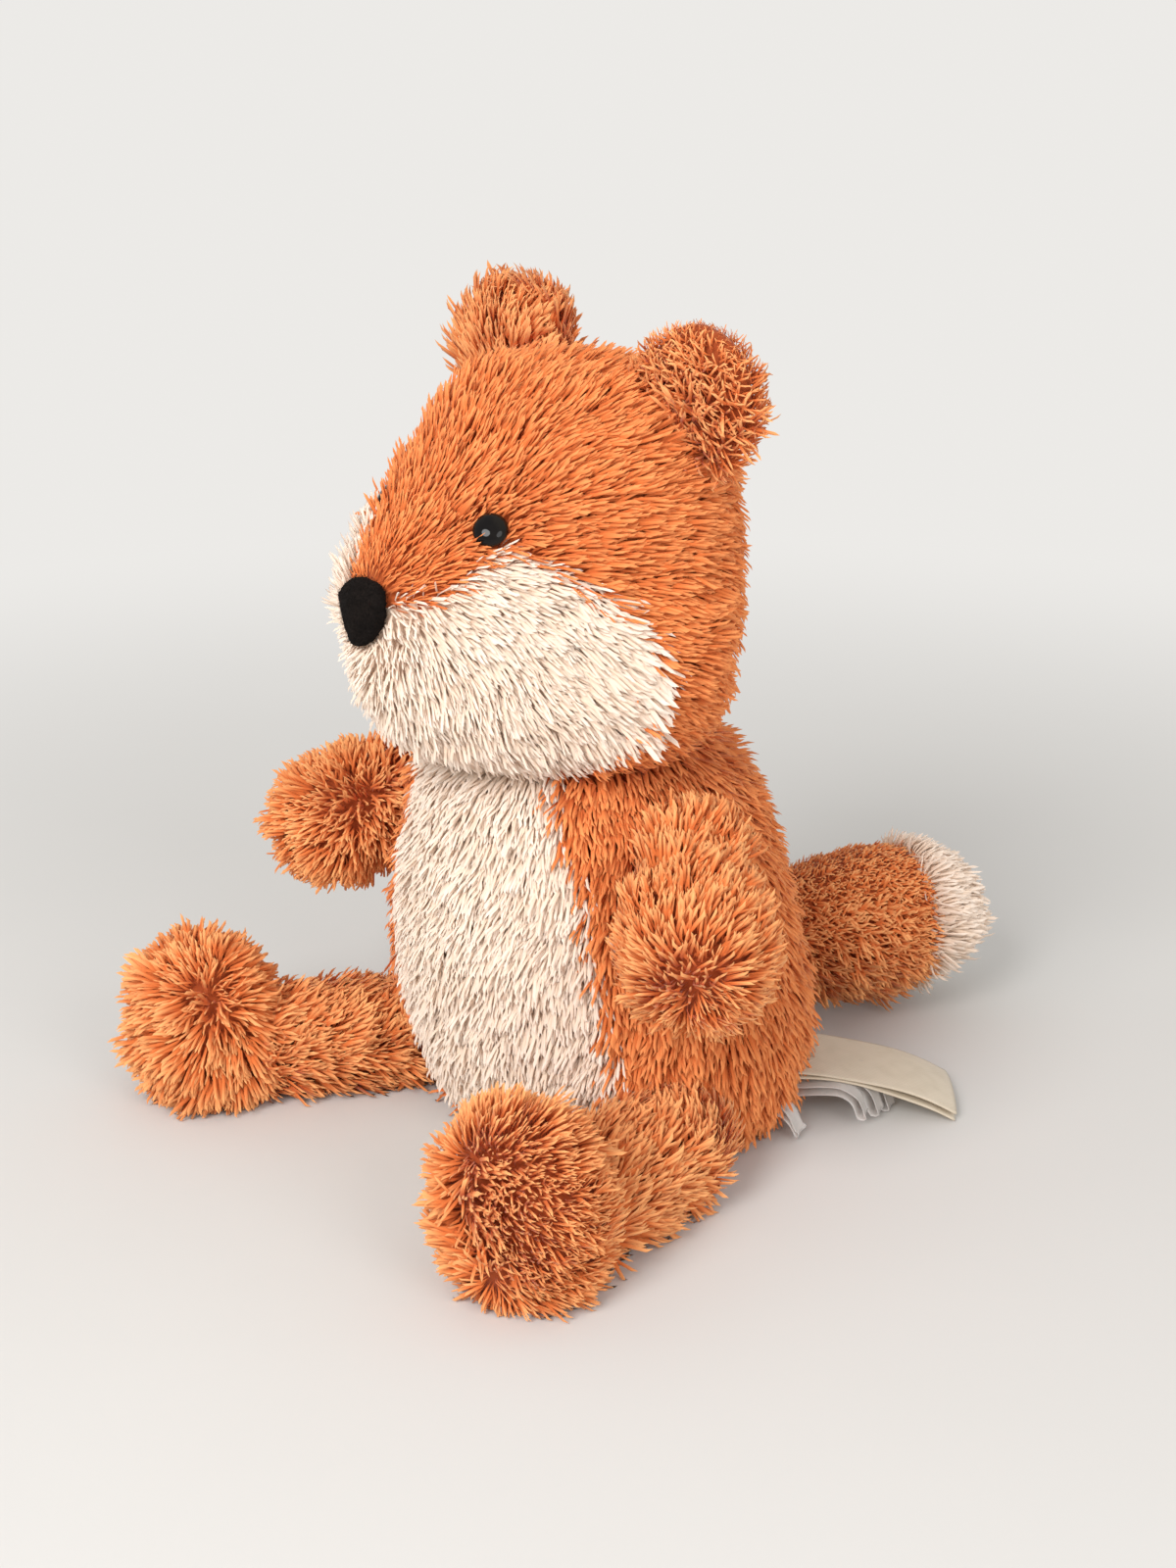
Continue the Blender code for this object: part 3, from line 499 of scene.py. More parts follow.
def largest_island(points, quads):
    """Only the skin's largest island, with its points numbered afresh."""
    label = np.arange(len(points))
    pairs = np.concatenate([quads[:, (0, 1)], quads[:, (1, 2)], quads[:, (2, 3)]])
    while True:
        low = np.minimum(label[pairs[:, 0]], label[pairs[:, 1]])
        before = label.copy()
        np.minimum.at(label, pairs[:, 0], low)
        np.minimum.at(label, pairs[:, 1], low)
        label = label[label]
        if (label == before).all():
            break
    keep = label == np.bincount(label).argmax()
    number = np.cumsum(keep) - 1
    chosen = keep[quads[:, 0]]
    return points[keep], number[quads[chosen]]


def normals_of(points, quads):
    across = np.cross(points[quads[:, 2]] - points[quads[:, 0]], points[quads[:, 3]] - points[quads[:, 1]])
    total = np.zeros_like(points)
    for corner in range(4):
        np.add.at(total, quads[:, corner], across)
    return unit(total)


def softened(points, quads, times, share=0.5):
    """Points drawn towards the mean of their neighbours."""
    first = quads.ravel()
    second = np.roll(quads, -1, 1).ravel()
    count = np.bincount(first, minlength=len(points)) + np.bincount(second, minlength=len(points))
    for _ in range(times):
        total = np.zeros_like(points)
        np.add.at(total, first, points[second])
        np.add.at(total, second, points[first])
        points = points + share * (total / count[:, None] - points)
    return points


def voxel_skin(parts, step, times):
    """One closed smooth skin round the named solids: its points, its faces and the way they face."""
    joined = merged(parts)
    mesh = bpy.data.meshes.new("skin")
    joined.to_mesh(mesh)
    joined.free()
    thing = new_object("skin", mesh)
    remesh = thing.modifiers.new("Skin", "REMESH")
    remesh.mode, remesh.voxel_size = "VOXEL", step
    mesh = applied(thing)
    points, quads = largest_island(*quads_of(mesh))
    bpy.data.meshes.remove(mesh)
    points = softened(points, quads, times)
    return points, quads, normals_of(points, quads)


def distances(points, tree):
    return np.array([tree.find_nearest(Vector(p))[3] for p in points])


class Skin:
    """The cloth under the pile of one body: the skin round its solids, drawn in a little."""

    def __init__(self, parts, others, times=6):
        self.form, self.quads, self.normals = voxel_skin(parts, sizes().backing_step, times)
        self.clear = distances(self.form, tree_of(others))
        self.points = self.form - self.normals * sizes().backing_depth
        self.points[:, 2] = np.maximum(self.points[:, 2], FLOOR_GAP * 2)

    def nearer(self, first, second):
        """For each face, whether it lies nearer to the first solid than to the second."""
        middles = self.form[self.quads].mean(1)
        return distances(middles, tree_of((first,))) < distances(middles, tree_of((second,)))

    def piece(self, chosen):
        """The chosen faces with a back and a rim, as one closed piece of cloth.

        Also which of the skin's points each point is, and which lie on the outside.
        """
        quads = self.quads[chosen]
        used = np.unique(quads)
        number = np.full(len(self.points), -1)
        number[used] = np.arange(len(used))
        outer = number[quads]
        if len(quads) == len(self.quads):
            return self.points[used], outer, used, np.ones(len(used), bool)
        edges = np.concatenate([outer[:, (k, (k + 1) % 4)] for k in range(4)])
        known = {tuple(e) for e in edges}
        start, end = np.array([e for e in edges if (e[1], e[0]) not in known]).T
        shift = len(used)
        rim = np.stack([end, start, start + shift, end + shift], 1)
        inner = outer[:, ::-1] + shift
        inward = self.points[used] - self.normals[used] * sizes().backing_thickness
        points = np.concatenate([self.points[used], inward])
        outside = np.concatenate([np.ones(shift, bool), np.zeros(shift, bool)])
        return points, np.concatenate([outer, inner, rim]), np.concatenate([used, used]), outside


# ---------------------------------------------------------------- pile


def from_parting(points, start, end=None):
    """Steps to the points from the nearest place of a parting."""
    start = np.array(start, float)
    if end is None:
        return points - start
    line = np.array(end, float) - start
    share = np.clip((points - start) @ line / (line @ line), 0, 1)
    return points - start - share[:, None] * line


def away_from(points, start, end=None):
    """Directions that lead away from the nearest place of a parting."""
    return unit(from_parting(points, start, end))


def whorl(points, parting, inner, outer):
    """1 at a parting, where the pile stands up in curls, and 0 further off."""
    return 1 - smooth_step(np.linalg.norm(from_parting(points, *parting), axis=1), inner, outer)


def waves(points, scale, seed):
    """Smooth random vectors, much the same at points close together."""
    noise.seed_set(SEEDS["waves"])
    shift = Vector((seed * 1.7, seed * 0.9, seed * 2.3))
    return np.array([noise.noise_vector(Vector(p) / scale + shift) for p in points])


LOCK_STEPS = (0.0, 0.34, 0.86, 1.0)
LOCK_GIRTHS = (1.0, 0.86)
LOCK_FLATNESS = 0.55
LOCK_KINDS = 8
# The edges along a lock's flat underside. Smooth ones would tilt its light under the surface.
LOCK_SHARP = {(0, 2), (2, 5), (5, 7), (0, 3), (3, 6), (6, 7)}


def lock_shape(number):
    """One tapered lock, a unit long: it leaves its root steeply, bends over along +X and wavers."""
    chance = random.Random(SEEDS["lock"] + number)
    start, end = math.radians(chance.uniform(42, 62)), math.radians(chance.uniform(-32, 6))
    phase, waver = chance.uniform(0, 2 * math.pi), chance.uniform(0.04, 0.09)
    fine, centre, line = 50, Vector(), []
    for k in range(fine + 1):
        share = k / fine
        if share in LOCK_STEPS:
            line.append(centre + Vector((0, waver * (math.sin(phase + share * 5.0) - math.sin(phase)), 0)))
        angle = start + (end - start) * share ** 0.8
        centre = centre + Vector((math.cos(angle), 0, math.sin(angle))) / fine
    half, wide = sizes().lock_width / 2, Vector((0, 1, 0))
    points = [line[0]]
    for k, girth in enumerate(LOCK_GIRTHS, 1):
        out = (line[k + 1] - line[k - 1]).normalized().cross(wide).normalized()
        for corner in range(3):
            turn = 2 * math.pi * corner / 3 + math.pi / 2
            points.append(line[k] + half * girth * (wide * math.cos(turn) + out * math.sin(turn) * LOCK_FLATNESS))
    points.append(line[-1])
    faces, places = [], []
    low, high = LOCK_STEPS[1:3]
    for corner in range(3):
        after = (corner + 1) % 3
        left, right = corner / 3, (corner + 1) / 3
        faces += [(0, 1 + after, 1 + corner), (1 + corner, 1 + after, 4 + after, 4 + corner),
                  (4 + corner, 4 + after, 7)]
        places += [(left, 0), (right, low), (left, low), (left, low), (right, low), (right, high), (left, high),
                   (left, high), (right, high), (left, 1)]
    mesh = mesh_from(f"lock_{number}", points, faces)
    mesh.uv_layers.new(name="strand").data.foreach_set("uv", np.array(places, np.float32).ravel())
    for edge in mesh.edges:
        edge.use_edge_sharp = tuple(sorted(edge.vertices)) in LOCK_SHARP
    return mesh


def lock_collection():
    """A few locks to choose from, kept out of the render."""
    name = "Locks"
    if name in bpy.data.collections:
        return bpy.data.collections[name]
    made = bpy.data.collections.new(name)
    bpy.context.scene.collection.children.link(made)
    for number in range(LOCK_KINDS):
        lock = bpy.data.objects.new(f"lock_{number}", lock_shape(number))
        lock.hide_render = True
        made.objects.link(lock)
    return made


def pile_tree():
    """The node group that sets locks on a backing, combed, raised and sized by the backing's attributes."""
    name = "Pile"
    if name in bpy.data.node_groups:
        return bpy.data.node_groups[name]
    tree = bpy.data.node_groups.new(name, "GeometryNodeTree")
    for label, kind, default in (
        ("Backing", "NodeSocketGeometry", None), ("Locks", "NodeSocketCollection", None),
        ("Spacing", "NodeSocketFloat", 0.001), ("Seed", "NodeSocketInt", 0),
        ("Smallest", "NodeSocketFloat", 0.7), ("Largest", "NodeSocketFloat", 1.15),
        ("Gather", "NodeSocketFloat", 1.0), ("Tuft", "NodeSocketFloat", 0.0017),
        ("Floor", "NodeSocketFloat", FLOOR_GAP), ("Finish", "NodeSocketMaterial", None),
    ):
        socket = tree.interface.new_socket(label, in_out="INPUT", socket_type=kind)
        if default is not None:
            socket.default_value = default
    tree.interface.new_socket("Pile", in_out="OUTPUT", socket_type="NodeSocketGeometry")
    given = add(tree, "NodeGroupInput")

    def read(label, kind="FLOAT"):
        return add(tree, "GeometryNodeInputNamedAttribute", {"data_type": kind}, {"Name": label})

    def chance(low, high, step):
        return add(tree, "FunctionNodeRandomValue", {"data_type": "FLOAT"}, {
            2: low, 3: high, "Seed": given["Seed"] + step}, 1)

    roots = add(tree, "GeometryNodeDistributePointsOnFaces", {"distribute_method": "POISSON"}, {
        "Mesh": given["Backing"], "Distance Min": given["Spacing"], "Density Max": 4.0e6,
        "Density Factor": read("fur"), "Seed": given["Seed"]})
    upright = add(tree, "FunctionNodeAlignRotationToVector", {"axis": "Z"}, {"Vector": roots["Normal"]})
    root = add(tree, "GeometryNodeInputPosition")
    cell = add(tree, "ShaderNodeTexVoronoi", None, {
        "Vector": root, "Scale": given["Tuft"].math("DIVIDE", 1.0, given["Tuft"])}, "Position")
    pull = add(tree, "ShaderNodeVectorMath", {"operation": "SUBTRACT"}, {0: cell, 1: root})
    strength = given["Gather"].math("DIVIDE", given["Gather"], read("reach"))
    pulled = add(tree, "ShaderNodeVectorMath", {"operation": "SCALE"}, {0: pull, "Scale": strength})
    way = add(tree, "ShaderNodeVectorMath", {"operation": "ADD"}, {0: read("comb", "FLOAT_VECTOR"), 1: pulled})
    kind = parts_of(tree, cell["Color"])
    combed = add(tree, "FunctionNodeAlignRotationToVector", {"axis": "X", "pivot_axis": "Z"}, {
        "Rotation": upright, "Vector": way})
    tilt = vector_of(tree, chance(-0.35, 0.35, 1), chance(-0.12, 0.10, 2) - kind["Y"] * 0.24 - read("lift"),
                     chance(-1.0, 1.0, 3) * read("mess"))
    turned = add(tree, "FunctionNodeRotateRotation", {"rotation_space": "LOCAL"}, {
        "Rotation": combed, "Rotate By": add(tree, "FunctionNodeEulerToRotation", None, {"Euler": tilt})})
    spread = given["Largest"] - given["Smallest"]
    length = (given["Smallest"] + kind["X"] * spread) * chance(0.88, 1.08, 4) * read("reach")
    girth = length * read("girth") * chance(0.8, 1.2, 5)
    scale = vector_of(tree, length, girth, length)
    shapes = add(tree, "GeometryNodeCollectionInfo", {"transform_space": "ORIGINAL"}, {
        "Collection": given["Locks"], "Separate Children": True, "Reset Children": True})
    choice = add(tree, "FunctionNodeRandomValue", {"data_type": "INT"}, {
        4: 0, 5: LOCK_KINDS - 1, "Seed": given["Seed"] + 6}, 2)
    set_out = add(tree, "GeometryNodeInstanceOnPoints", None, {
        "Points": roots, "Instance": shapes, "Pick Instance": True, "Instance Index": choice,
        "Rotation": turned, "Scale": scale})
    toned = add(tree, "GeometryNodeStoreNamedAttribute", {"data_type": "FLOAT", "domain": "INSTANCE"}, {
        "Geometry": set_out, "Name": "tone",
        "Value": kind["Z"] * 0.6 + chance(0.0, 0.4, 7)})
    real = add(tree, "GeometryNodeRealizeInstances", None, {"Geometry": toned})
    joined = add(tree, "GeometryNodeJoinGeometry")
    tree.links.new(given["Backing"].socket, joined.node.inputs[0])
    tree.links.new(real.socket, joined.node.inputs[0])
    place = parts_of(tree, add(tree, "GeometryNodeInputPosition"))
    above = vector_of(tree, place["X"], place["Y"], place["Z"].least(given["Floor"]))
    settled = add(tree, "GeometryNodeSetPosition", None, {"Geometry": joined, "Position": above})
    whole = add(tree, "GeometryNodeRealizeInstances", None, {"Geometry": settled})
    done = add(tree, "GeometryNodeSetMaterial", None, {"Geometry": whole, "Material": given["Finish"]})
    add(tree, "NodeGroupOutput", None, {0: done})
    return tree


def set_inputs(modifier, values):
    """Sets a node modifier's inputs by their sockets' identifiers."""
    for item in modifier.node_group.interface.items_tree:
        if item.item_type == "SOCKET" and item.in_out == "INPUT" and item.name in values:
            modifier[item.identifier] = values[item.name]


def with_pile(name, points, faces, fields, material, seed,
              spacing=None, smallest=0.75, largest=1.15, gather=0.55, tuft=1.0):
    """A backing with its pile, as one plain mesh object."""
    backing = mesh_from(name, points, faces)
    for label, values in fields.items():
        kind, value = ("FLOAT_VECTOR", "vector") if values.ndim == 2 else ("FLOAT", "value")
        backing.attributes.new(label, kind, "POINT").data.foreach_set(value, values.astype(np.float32).ravel())
    thing = new_object(name, backing)
    modifier = thing.modifiers.new("Pile", "NODES")
    modifier.node_group = pile_tree()
    coarse = 1.0
    set_inputs(modifier, {
        "Locks": lock_collection(), "Spacing": (spacing or sizes().root_spacing) * coarse, "Seed": seed,
        "Smallest": smallest, "Largest": largest, "Gather": gather, "Tuft": tuft * sizes().tuft_width,
        "Floor": FLOOR_GAP, "Finish": finish(material)})
    mesh = applied(thing)
    mesh.name = name
    for label in fields:
        if label in mesh.attributes:
            mesh.attributes.remove(mesh.attributes[label])
    return new_object(name, mesh)


def coat(name, skin, chosen, combing, material, seed, **settings):
    """One piece of plush: its share of the skin, with pile combed as the rule says."""
    points, faces, source, outside = skin.piece(chosen)
    form, normals = skin.form[source], skin.normals[source]
    field = {"girth": 1.0, "fur": 1.0, **combing(form, normals)}
    comb = unit(field.pop("comb"))
    for step, (share, scale) in enumerate(COMB_WAVES):
        comb = comb + share * waves(form, scale, seed + step)
    comb -= (comb * normals).sum(1, keepdims=True) * normals
    fields = {"comb": unit(comb)}
    for label, value in field.items():
        fields[label] = np.broadcast_to(np.asarray(value, float), (len(points),)).copy()
    fields["fur"] = fields["fur"] * outside * smooth_step(skin.clear[source], 0.0006, 0.0014)
    # Few locks where a piece lies on the floor
    under = (form[:, 2] < 0.003) & (normals[:, 2] < -0.7)
    fields["fur"] = np.where(under, fields["fur"] * 0.25, fields["fur"])
    return with_pile(name, points, faces, fields, material, seed, **settings)


def placed(thing, body, slot, *nodes):
    """Sets a piece on its body, in place of its solids."""
    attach(thing, body)
    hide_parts(*nodes)


def sewn(thing, body, fill, slot, *nodes):
    """The same for a stuffed piece."""
    placed(thing, body, slot, *nodes)


def others_than(body):
    """Every solid that is not the body's."""
    return [name for name, thing in NODES.items() if thing["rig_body"] != body]


def all_of(skin):
    return np.ones(len(skin.quads), bool)


# ---------------------------------------------------------------- the toy's pieces


def body_combing(points, normals):
    """Down the body, a little outwards from the front."""
    comb = DOWN + 0.25 * unit(points * (1, 1, 0))
    nape = smooth_step(points[:, 2], 0.060, 0.085) * smooth_step(points[:, 1], -0.012, 0.010)
    seat = 1 - smooth_step(points[:, 2], 0.020, 0.060)
    reach = sizes().pile_length + 0.0030 * nape + 0.0012 * seat
    return {"comb": comb, "reach": reach, "lift": 0.14 + 0.25 * nape, "mess": 0.36}


def belly_combing(points, normals):
    return {"comb": np.broadcast_to(DOWN, points.shape), "reach": 0.0064, "lift": 0.04, "mess": 0.28, "girth": 1.1}


def make_body():
    skin = Skin(BODY_PARTS, others_than("body"))
    white = skin.nearer("belly_panel", "body_cover")
    body = coat("body_plush", skin, ~white, body_combing, "orange_plush", SEEDS["body"])
    belly = coat("belly_plush", skin, white, belly_combing, "white_plush", SEEDS["body"] + 5, **DENSE)
    sewn(body, "body", 0.8, "orange_plush", "body_cover")
    sewn(belly, "body", 0.8, "white_plush", "belly_panel")


def head_comb(points):
    """Away from the nose, and down at the back of the head."""
    back = smooth_step(points[:, 1], -0.015, 0.012)[:, None]
    return away_from(points, NOSE_TIP) + 0.9 * back * DOWN


def eye_place(side):
    """Where an eye's dome stands on the head, and the way that it faces."""
    dome = corners_of("eye_" + side)
    facing = unit(dome.mean(0) - corners_of("eye_washer_" + side).mean(0))
    along = (dome - dome.mean(0)) @ facing
    away = np.linalg.norm(dome - dome.mean(0) - along[:, None] * facing, axis=1)
    rim = along[away > 0.6 * away.max()].min()
    return dome.mean(0) + rim * facing, facing, away.max(), along.max() - rim


def corners_of(name):
    low = np.array([v.co for v in NODES[name].data.vertices], float)
    return np.unique(low.round(7), axis=0)


def gaps_to_features(points):
    """How far each point is from the left eye, the right eye and the nose."""
    gaps = []
    for side in ("left", "right"):
        place, _, radius, _ = eye_place(side)
        gaps.append(np.linalg.norm(points - place, axis=1) - radius)
    return *gaps, distances(points, tree_of(("nose_patch",))) - 0.0006


def under_nose(points, normals, gap):
    """1 where the nose patch lies over the skin."""
    patch = tree_of(("nose_patch",))
    found = [near < 0.006 and patch.ray_cast(Vector(p - 0.001 * n), Vector(n), 0.006)[0] is not None
             for p, n, near in zip(points, normals, gap)]
    return np.array(found, float)


def head_combing(points, normals):
    left, right, nose = gaps_to_features(points)
    far = np.linalg.norm(points - np.array(NOSE_TIP), axis=1)
    brow = 1 - smooth_step(np.minimum(left, right), 0.001, 0.006)
    bridge = smooth_step(0.016 - points[:, 0], 0, 0.012) * smooth_step(-points[:, 1], 0.040, 0.048)
    hedge = np.maximum(1 - smooth_step(right, 0.003, 0.009), 0.3 * bridge * smooth_step(far, 0.008, 0.016))
    reach = 0.0042 + 0.0024 * smooth_step(far, 0.008, 0.034) - 0.0008 * brow + 0.0010 * hedge
    bare = smooth_step(np.minimum(left, right - 0.0005), -0.0009, -0.0002) * (1 - under_nose(points, normals, nose))
    return {"comb": head_comb(points), "reach": reach, "lift": 0.03 + 0.22 * brow + 0.16 * hedge,
            "mess": 0.14 + 0.4 * brow, "fur": bare}


def muzzle_combing(points, normals):
    field = head_combing(points, normals)
    nose = 1 - smooth_step(gaps_to_features(points)[2], 0.002, 0.009)
    cheek = smooth_step(points[:, 1], -0.042, -0.024) * smooth_step(points[:, 2], 0.090, 0.098)
    hidden = smooth_step(-points[:, 0], 0.003, 0.010) * smooth_step(points[:, 2], 0.112, 0.124)
    field["comb"] = head_comb(points) + 0.35 * DOWN + 1.4 * hidden[:, None] * UP
    field["reach"] = 0.0058 + 0.0042 * cheek + 0.0014 * hidden - 0.0008 * nose
    field["lift"] = 0.04 + 0.12 * cheek + 0.45 * hidden + 0.45 * nose
    field["mess"] = 0.22 + 0.4 * nose
    field["girth"] = 1.05
    return field


def make_head():
    skin = Skin(HEAD_PARTS, [n for n in others_than("head") if not n.startswith("ear_")])
    white = skin.nearer("muzzle_panel", "head_cover")
    head = coat("head_plush", skin, ~white, head_combing, "orange_plush", SEEDS["head"])
    muzzle = coat("muzzle_plush", skin, white, muzzle_combing, "white_plush", SEEDS["head"] + 5, **DENSE)
    sewn(head, "head", 0.9, "orange_plush", "head_cover")
    sewn(muzzle, "head", 0.9, "white_plush", "muzzle_panel")


def left_ear_combing(root, points, normals):
    """Dense upright curls on the ear's face, shorter towards its top."""
    rim = smooth_step(1 - np.abs(normals @ LEFT_EAR_FACE), 0.3, 0.9)
    high = smooth_step(points[:, 2] - root[2], 0.004, 0.022)
    inner = 1 - smooth_step((points - root) @ VIEW_RIGHT, -0.012, 0.006)
    top = smooth_step(normals[:, 2], 0.1, 0.8)
    reach = (0.0064 - 0.0022 * high + 0.0040 * inner * (1 - 0.8 * high)) * (1 - 0.72 * top)
    return {"comb": away_from(points, root), "reach": reach, "lift": (0.28 - 0.24 * rim) * (1 - 0.9 * top),
            "mess": 1.9 - 1.4 * rim}


def right_ear_combing(root, points, normals):
    """Long tufts that fan out from the ear's root, longest to its sides."""
    comb = away_from(points, root)
    aside = comb @ VIEW_RIGHT
    reach = 0.0062 + 0.0056 * np.clip(aside, 0, 1) + 0.0044 * np.clip(-aside, 0, 1)
    return {"comb": comb, "reach": reach, "lift": 0.06, "mess": 0.26}


def make_ears():
    for side, rule, settings in (("left", left_ear_combing, CURLED), ("right", right_ear_combing, FANNED)):
        name = "ear_" + side
        corners = corners_of(name)
        low = corners[corners[:, 2] < np.percentile(corners[:, 2], 25)].mean(0)
        skin = Skin((name,), others_than(side + "_ear"), times=3)
        ear = coat("ear_plush_" + side, skin, all_of(skin), partial(rule, low + 0.004 * DOWN), "tufted_plush",
                   SEEDS["ear"] + len(side), **settings)
        sewn(ear, side + "_ear", 0.6, "orange_plush", name)


def arm_combing(parting, points, normals):
    """Away from the whorl at the paw, up the arm."""
    curls = whorl(points, parting, 0.003, 0.013)
    return {"comb": away_from(points, *parting), "reach": sizes().tuft_length, "lift": 0.12 + 0.55 * curls,
            "mess": 0.34 + 0.9 * curls}


def make_arms():
    for side, parting in (("left", LEFT_PAW), ("right", RIGHT_PAW)):
        parts = ("arm_" + side, "arm_stuffing_" + side)
        skin = Skin(parts, others_than(side + "_arm"))
        arm = coat("arm_plush_" + side, skin, all_of(skin), partial(arm_combing, parting), "tufted_plush",
                   SEEDS["arm"] + len(side), **TUFTED)
        sewn(arm, side + "_arm", 0.7, "orange_plush", parts[0])


def foot_combing(parting, sole, inner, outer, splay, stretch, rise, points, normals):
    """Upright curls on the foot's front, and long tufts away from them."""
    curls = whorl(points, sole, inner, outer)
    comb = away_from(points, *parting)
    splayed = np.clip(comb @ unit(splay), 0, 1) ** 2
    return {"comb": comb, "reach": sizes().tuft_length * (1 - 0.2 * curls + stretch * splayed),
            "lift": 0.12 + 0.60 * curls + rise * np.clip(normals[:, 2], 0, 1), "mess": 0.32 + 1.0 * curls}


def leg_combing(hip, points, normals):
    """Back along the leg in short curls."""
    return {"comb": unit(np.array(hip) - points) * (1, 1, 0) + 0.3 * UP, "reach": sizes().pile_length,
            "lift": 0.26, "mess": 0.55}


def make_legs():
    left = (LEFT_FOOT, LEFT_SOLE, 0.006, 0.016, 1.2 * UP - VIEW_RIGHT, 0.95, 0.85)
    right = (RIGHT_FOOT, RIGHT_FOOT, 0.001, 0.006, 0.3 * DOWN - VIEW_RIGHT, 0.38, 0.0)
    for side, rule, hip in (("left", left, LEFT_HIP), ("right", right, RIGHT_HIP)):
        foot_node, leg_node = "foot_" + side, "leg_" + side
        skin = Skin([leg_node, foot_node, "leg_stuffing_" + side, "foot_pellets_" + side],
                    others_than(side + "_leg"))
        is_foot = skin.nearer(foot_node, leg_node)
        seed = SEEDS["leg"] + len(side)
        foot = coat("foot_plush_" + side, skin, is_foot, partial(foot_combing, *rule), "tufted_plush", seed,
                    **TUFTED)
        leg = coat("leg_plush_" + side, skin, ~is_foot, partial(leg_combing, hip), "tufted_plush", seed + 5,
                   **TUFTED)
        sewn(foot, side + "_leg", 0.6, "orange_plush", foot_node)
        sewn(leg, side + "_leg", 0.7, "orange_plush", leg_node)


def tail_combing(points, normals):
    """Short curls along the tail, flatter on its top and towards the tip's seam."""
    far = (points - np.array(TAIL_ROOT)) @ TAIL_LINE
    seam = smooth_step(far, far.max() - 0.012, far.max() - 0.002)
    high = normals[:, 2]
    reach = 0.0062 - 0.0020 * seam - np.where(high > 0, 0.0042, 0.0026) * high
    level = np.clip(high, 0, 1)
    return {"comb": np.broadcast_to(TAIL_LINE, points.shape), "reach": np.maximum(reach, 0.0026),
            "lift": 0.34 - 0.30 * level, "mess": 1.2 - 0.4 * seam, "girth": 1 + 1.2 * level}


def tip_combing(points, normals):
    return {"comb": away_from(points, TAIL_ROOT), "reach": 0.0086 - 0.0030 * np.clip(normals[:, 2], 0, 1),
            "lift": 0.16, "mess": 0.34}


def make_tail():
    skin = Skin(("tail_cover", "tail_tip", "tail_stuffing"), others_than("tail"))
    is_tip = skin.nearer("tail_tip", "tail_cover")
    tail = coat("tail_plush", skin, ~is_tip, tail_combing, "tufted_plush", SEEDS["tail"], **CURLED)
    tip = coat("tail_tip_plush", skin, is_tip, tip_combing, "white_plush", SEEDS["tail"] + 5, **DENSE)
    sewn(tail, "tail", 0.6, "orange_plush", "tail_cover")
    sewn(tip, "tail", 0.6, "white_plush", "tail_tip")


def lathed(name, profile, count, place, facing):
    """A closed shape turned about a line.

    The profile gives (radius, distance along the line) and starts and ends on the line.
    """
    turns = [2 * math.pi * k / count for k in range(count)]
    points = [(r * math.cos(turn), r * math.sin(turn), z) for r, z in profile[1:-1] for turn in turns]
    grid = np.arange(len(points)).reshape(-1, count)
    after = np.roll(grid, -1, 1)
    faces = np.stack([grid[:-1], after[:-1], after[1:], grid[1:]], -1).reshape(-1, 4).tolist()
    low, high = len(points), len(points) + 1
    faces += [(low, b, a) for a, b in zip(grid[0], after[0])] + [(high, a, b) for a, b in zip(grid[-1], after[-1])]
    points += [(0, 0, profile[0][1]), (0, 0, profile[-1][1])]
    mesh = mesh_from(name, points, faces)
    mesh.transform(Matrix.Translation(Vector(place)) @ Vector(facing).to_track_quat("Z", "Y").to_matrix().to_4x4())
    return new_object(name, mesh)


def make_eyes():
    """Two glossy domes on shanks, with a small bevel at the rim."""
    shank, under, bevel, rows = 0.0011, -0.0001, 0.0004, 14
    for side in ("left", "right"):
        node = "eye_" + side
        place, facing, radius, height = eye_place(side)
        height -= 0.0006
        bottom = ((corners_of(node) - place) @ facing).min()
        profile = [(0, bottom), (shank, bottom), (shank, under), (radius * 0.93, under), (radius * 0.985, -under),
                   (radius, bevel)]
        for k in range(1, rows):
            angle = math.pi / 2 * k / rows
            profile.append((radius * math.cos(angle) ** 0.9, bevel + (height - bevel) * math.sin(angle)))
        eye = lathed("eye_dome_" + side, [*profile, (0, height)], 48, place, facing)
        eye.data.materials.append(finish("eye_plastic"))
        placed(eye, "head", "black_plastic", node)


def make_nose():
    """A thick patch of black felt with a fuzz of short fibres."""
    points, quads, normals = voxel_skin(("nose_patch",), 0.00035, 5)
    points = points + normals * (1.3, 1.0, 0.2) * (0.00068 + 0.00014 * waves(points, 0.0011, 3)[:, :1])
    middle = (points.max(0) + points.min(0)) / 2
    high = (points[:, 2] - middle[2]) / (points[:, 2].max() - middle[2])
    points[:, 0] = middle[0] + (points[:, 0] - middle[0]) * (1.04 + 0.10 * high - 0.05 * high ** 2)
    comb = away_from(points, NOSE_TIP) + 0.8 * waves(points, 0.002, 5)
    comb -= (comb * normals).sum(1, keepdims=True) * normals
    fields = {"comb": unit(comb)}
    for label, value in (("reach", sizes().felt_fuzz), ("lift", 0.1), ("mess", 2.0), ("girth", 1.0), ("fur", 1.0)):
        fields[label] = np.full(len(points), value)
    nose = with_pile("nose_felt_pad", points, quads, fields, "nose_felt", SEEDS["nose"], spacing=0.00032)
    sewn(nose, "head", 0.5, "black_felt", "nose_patch")


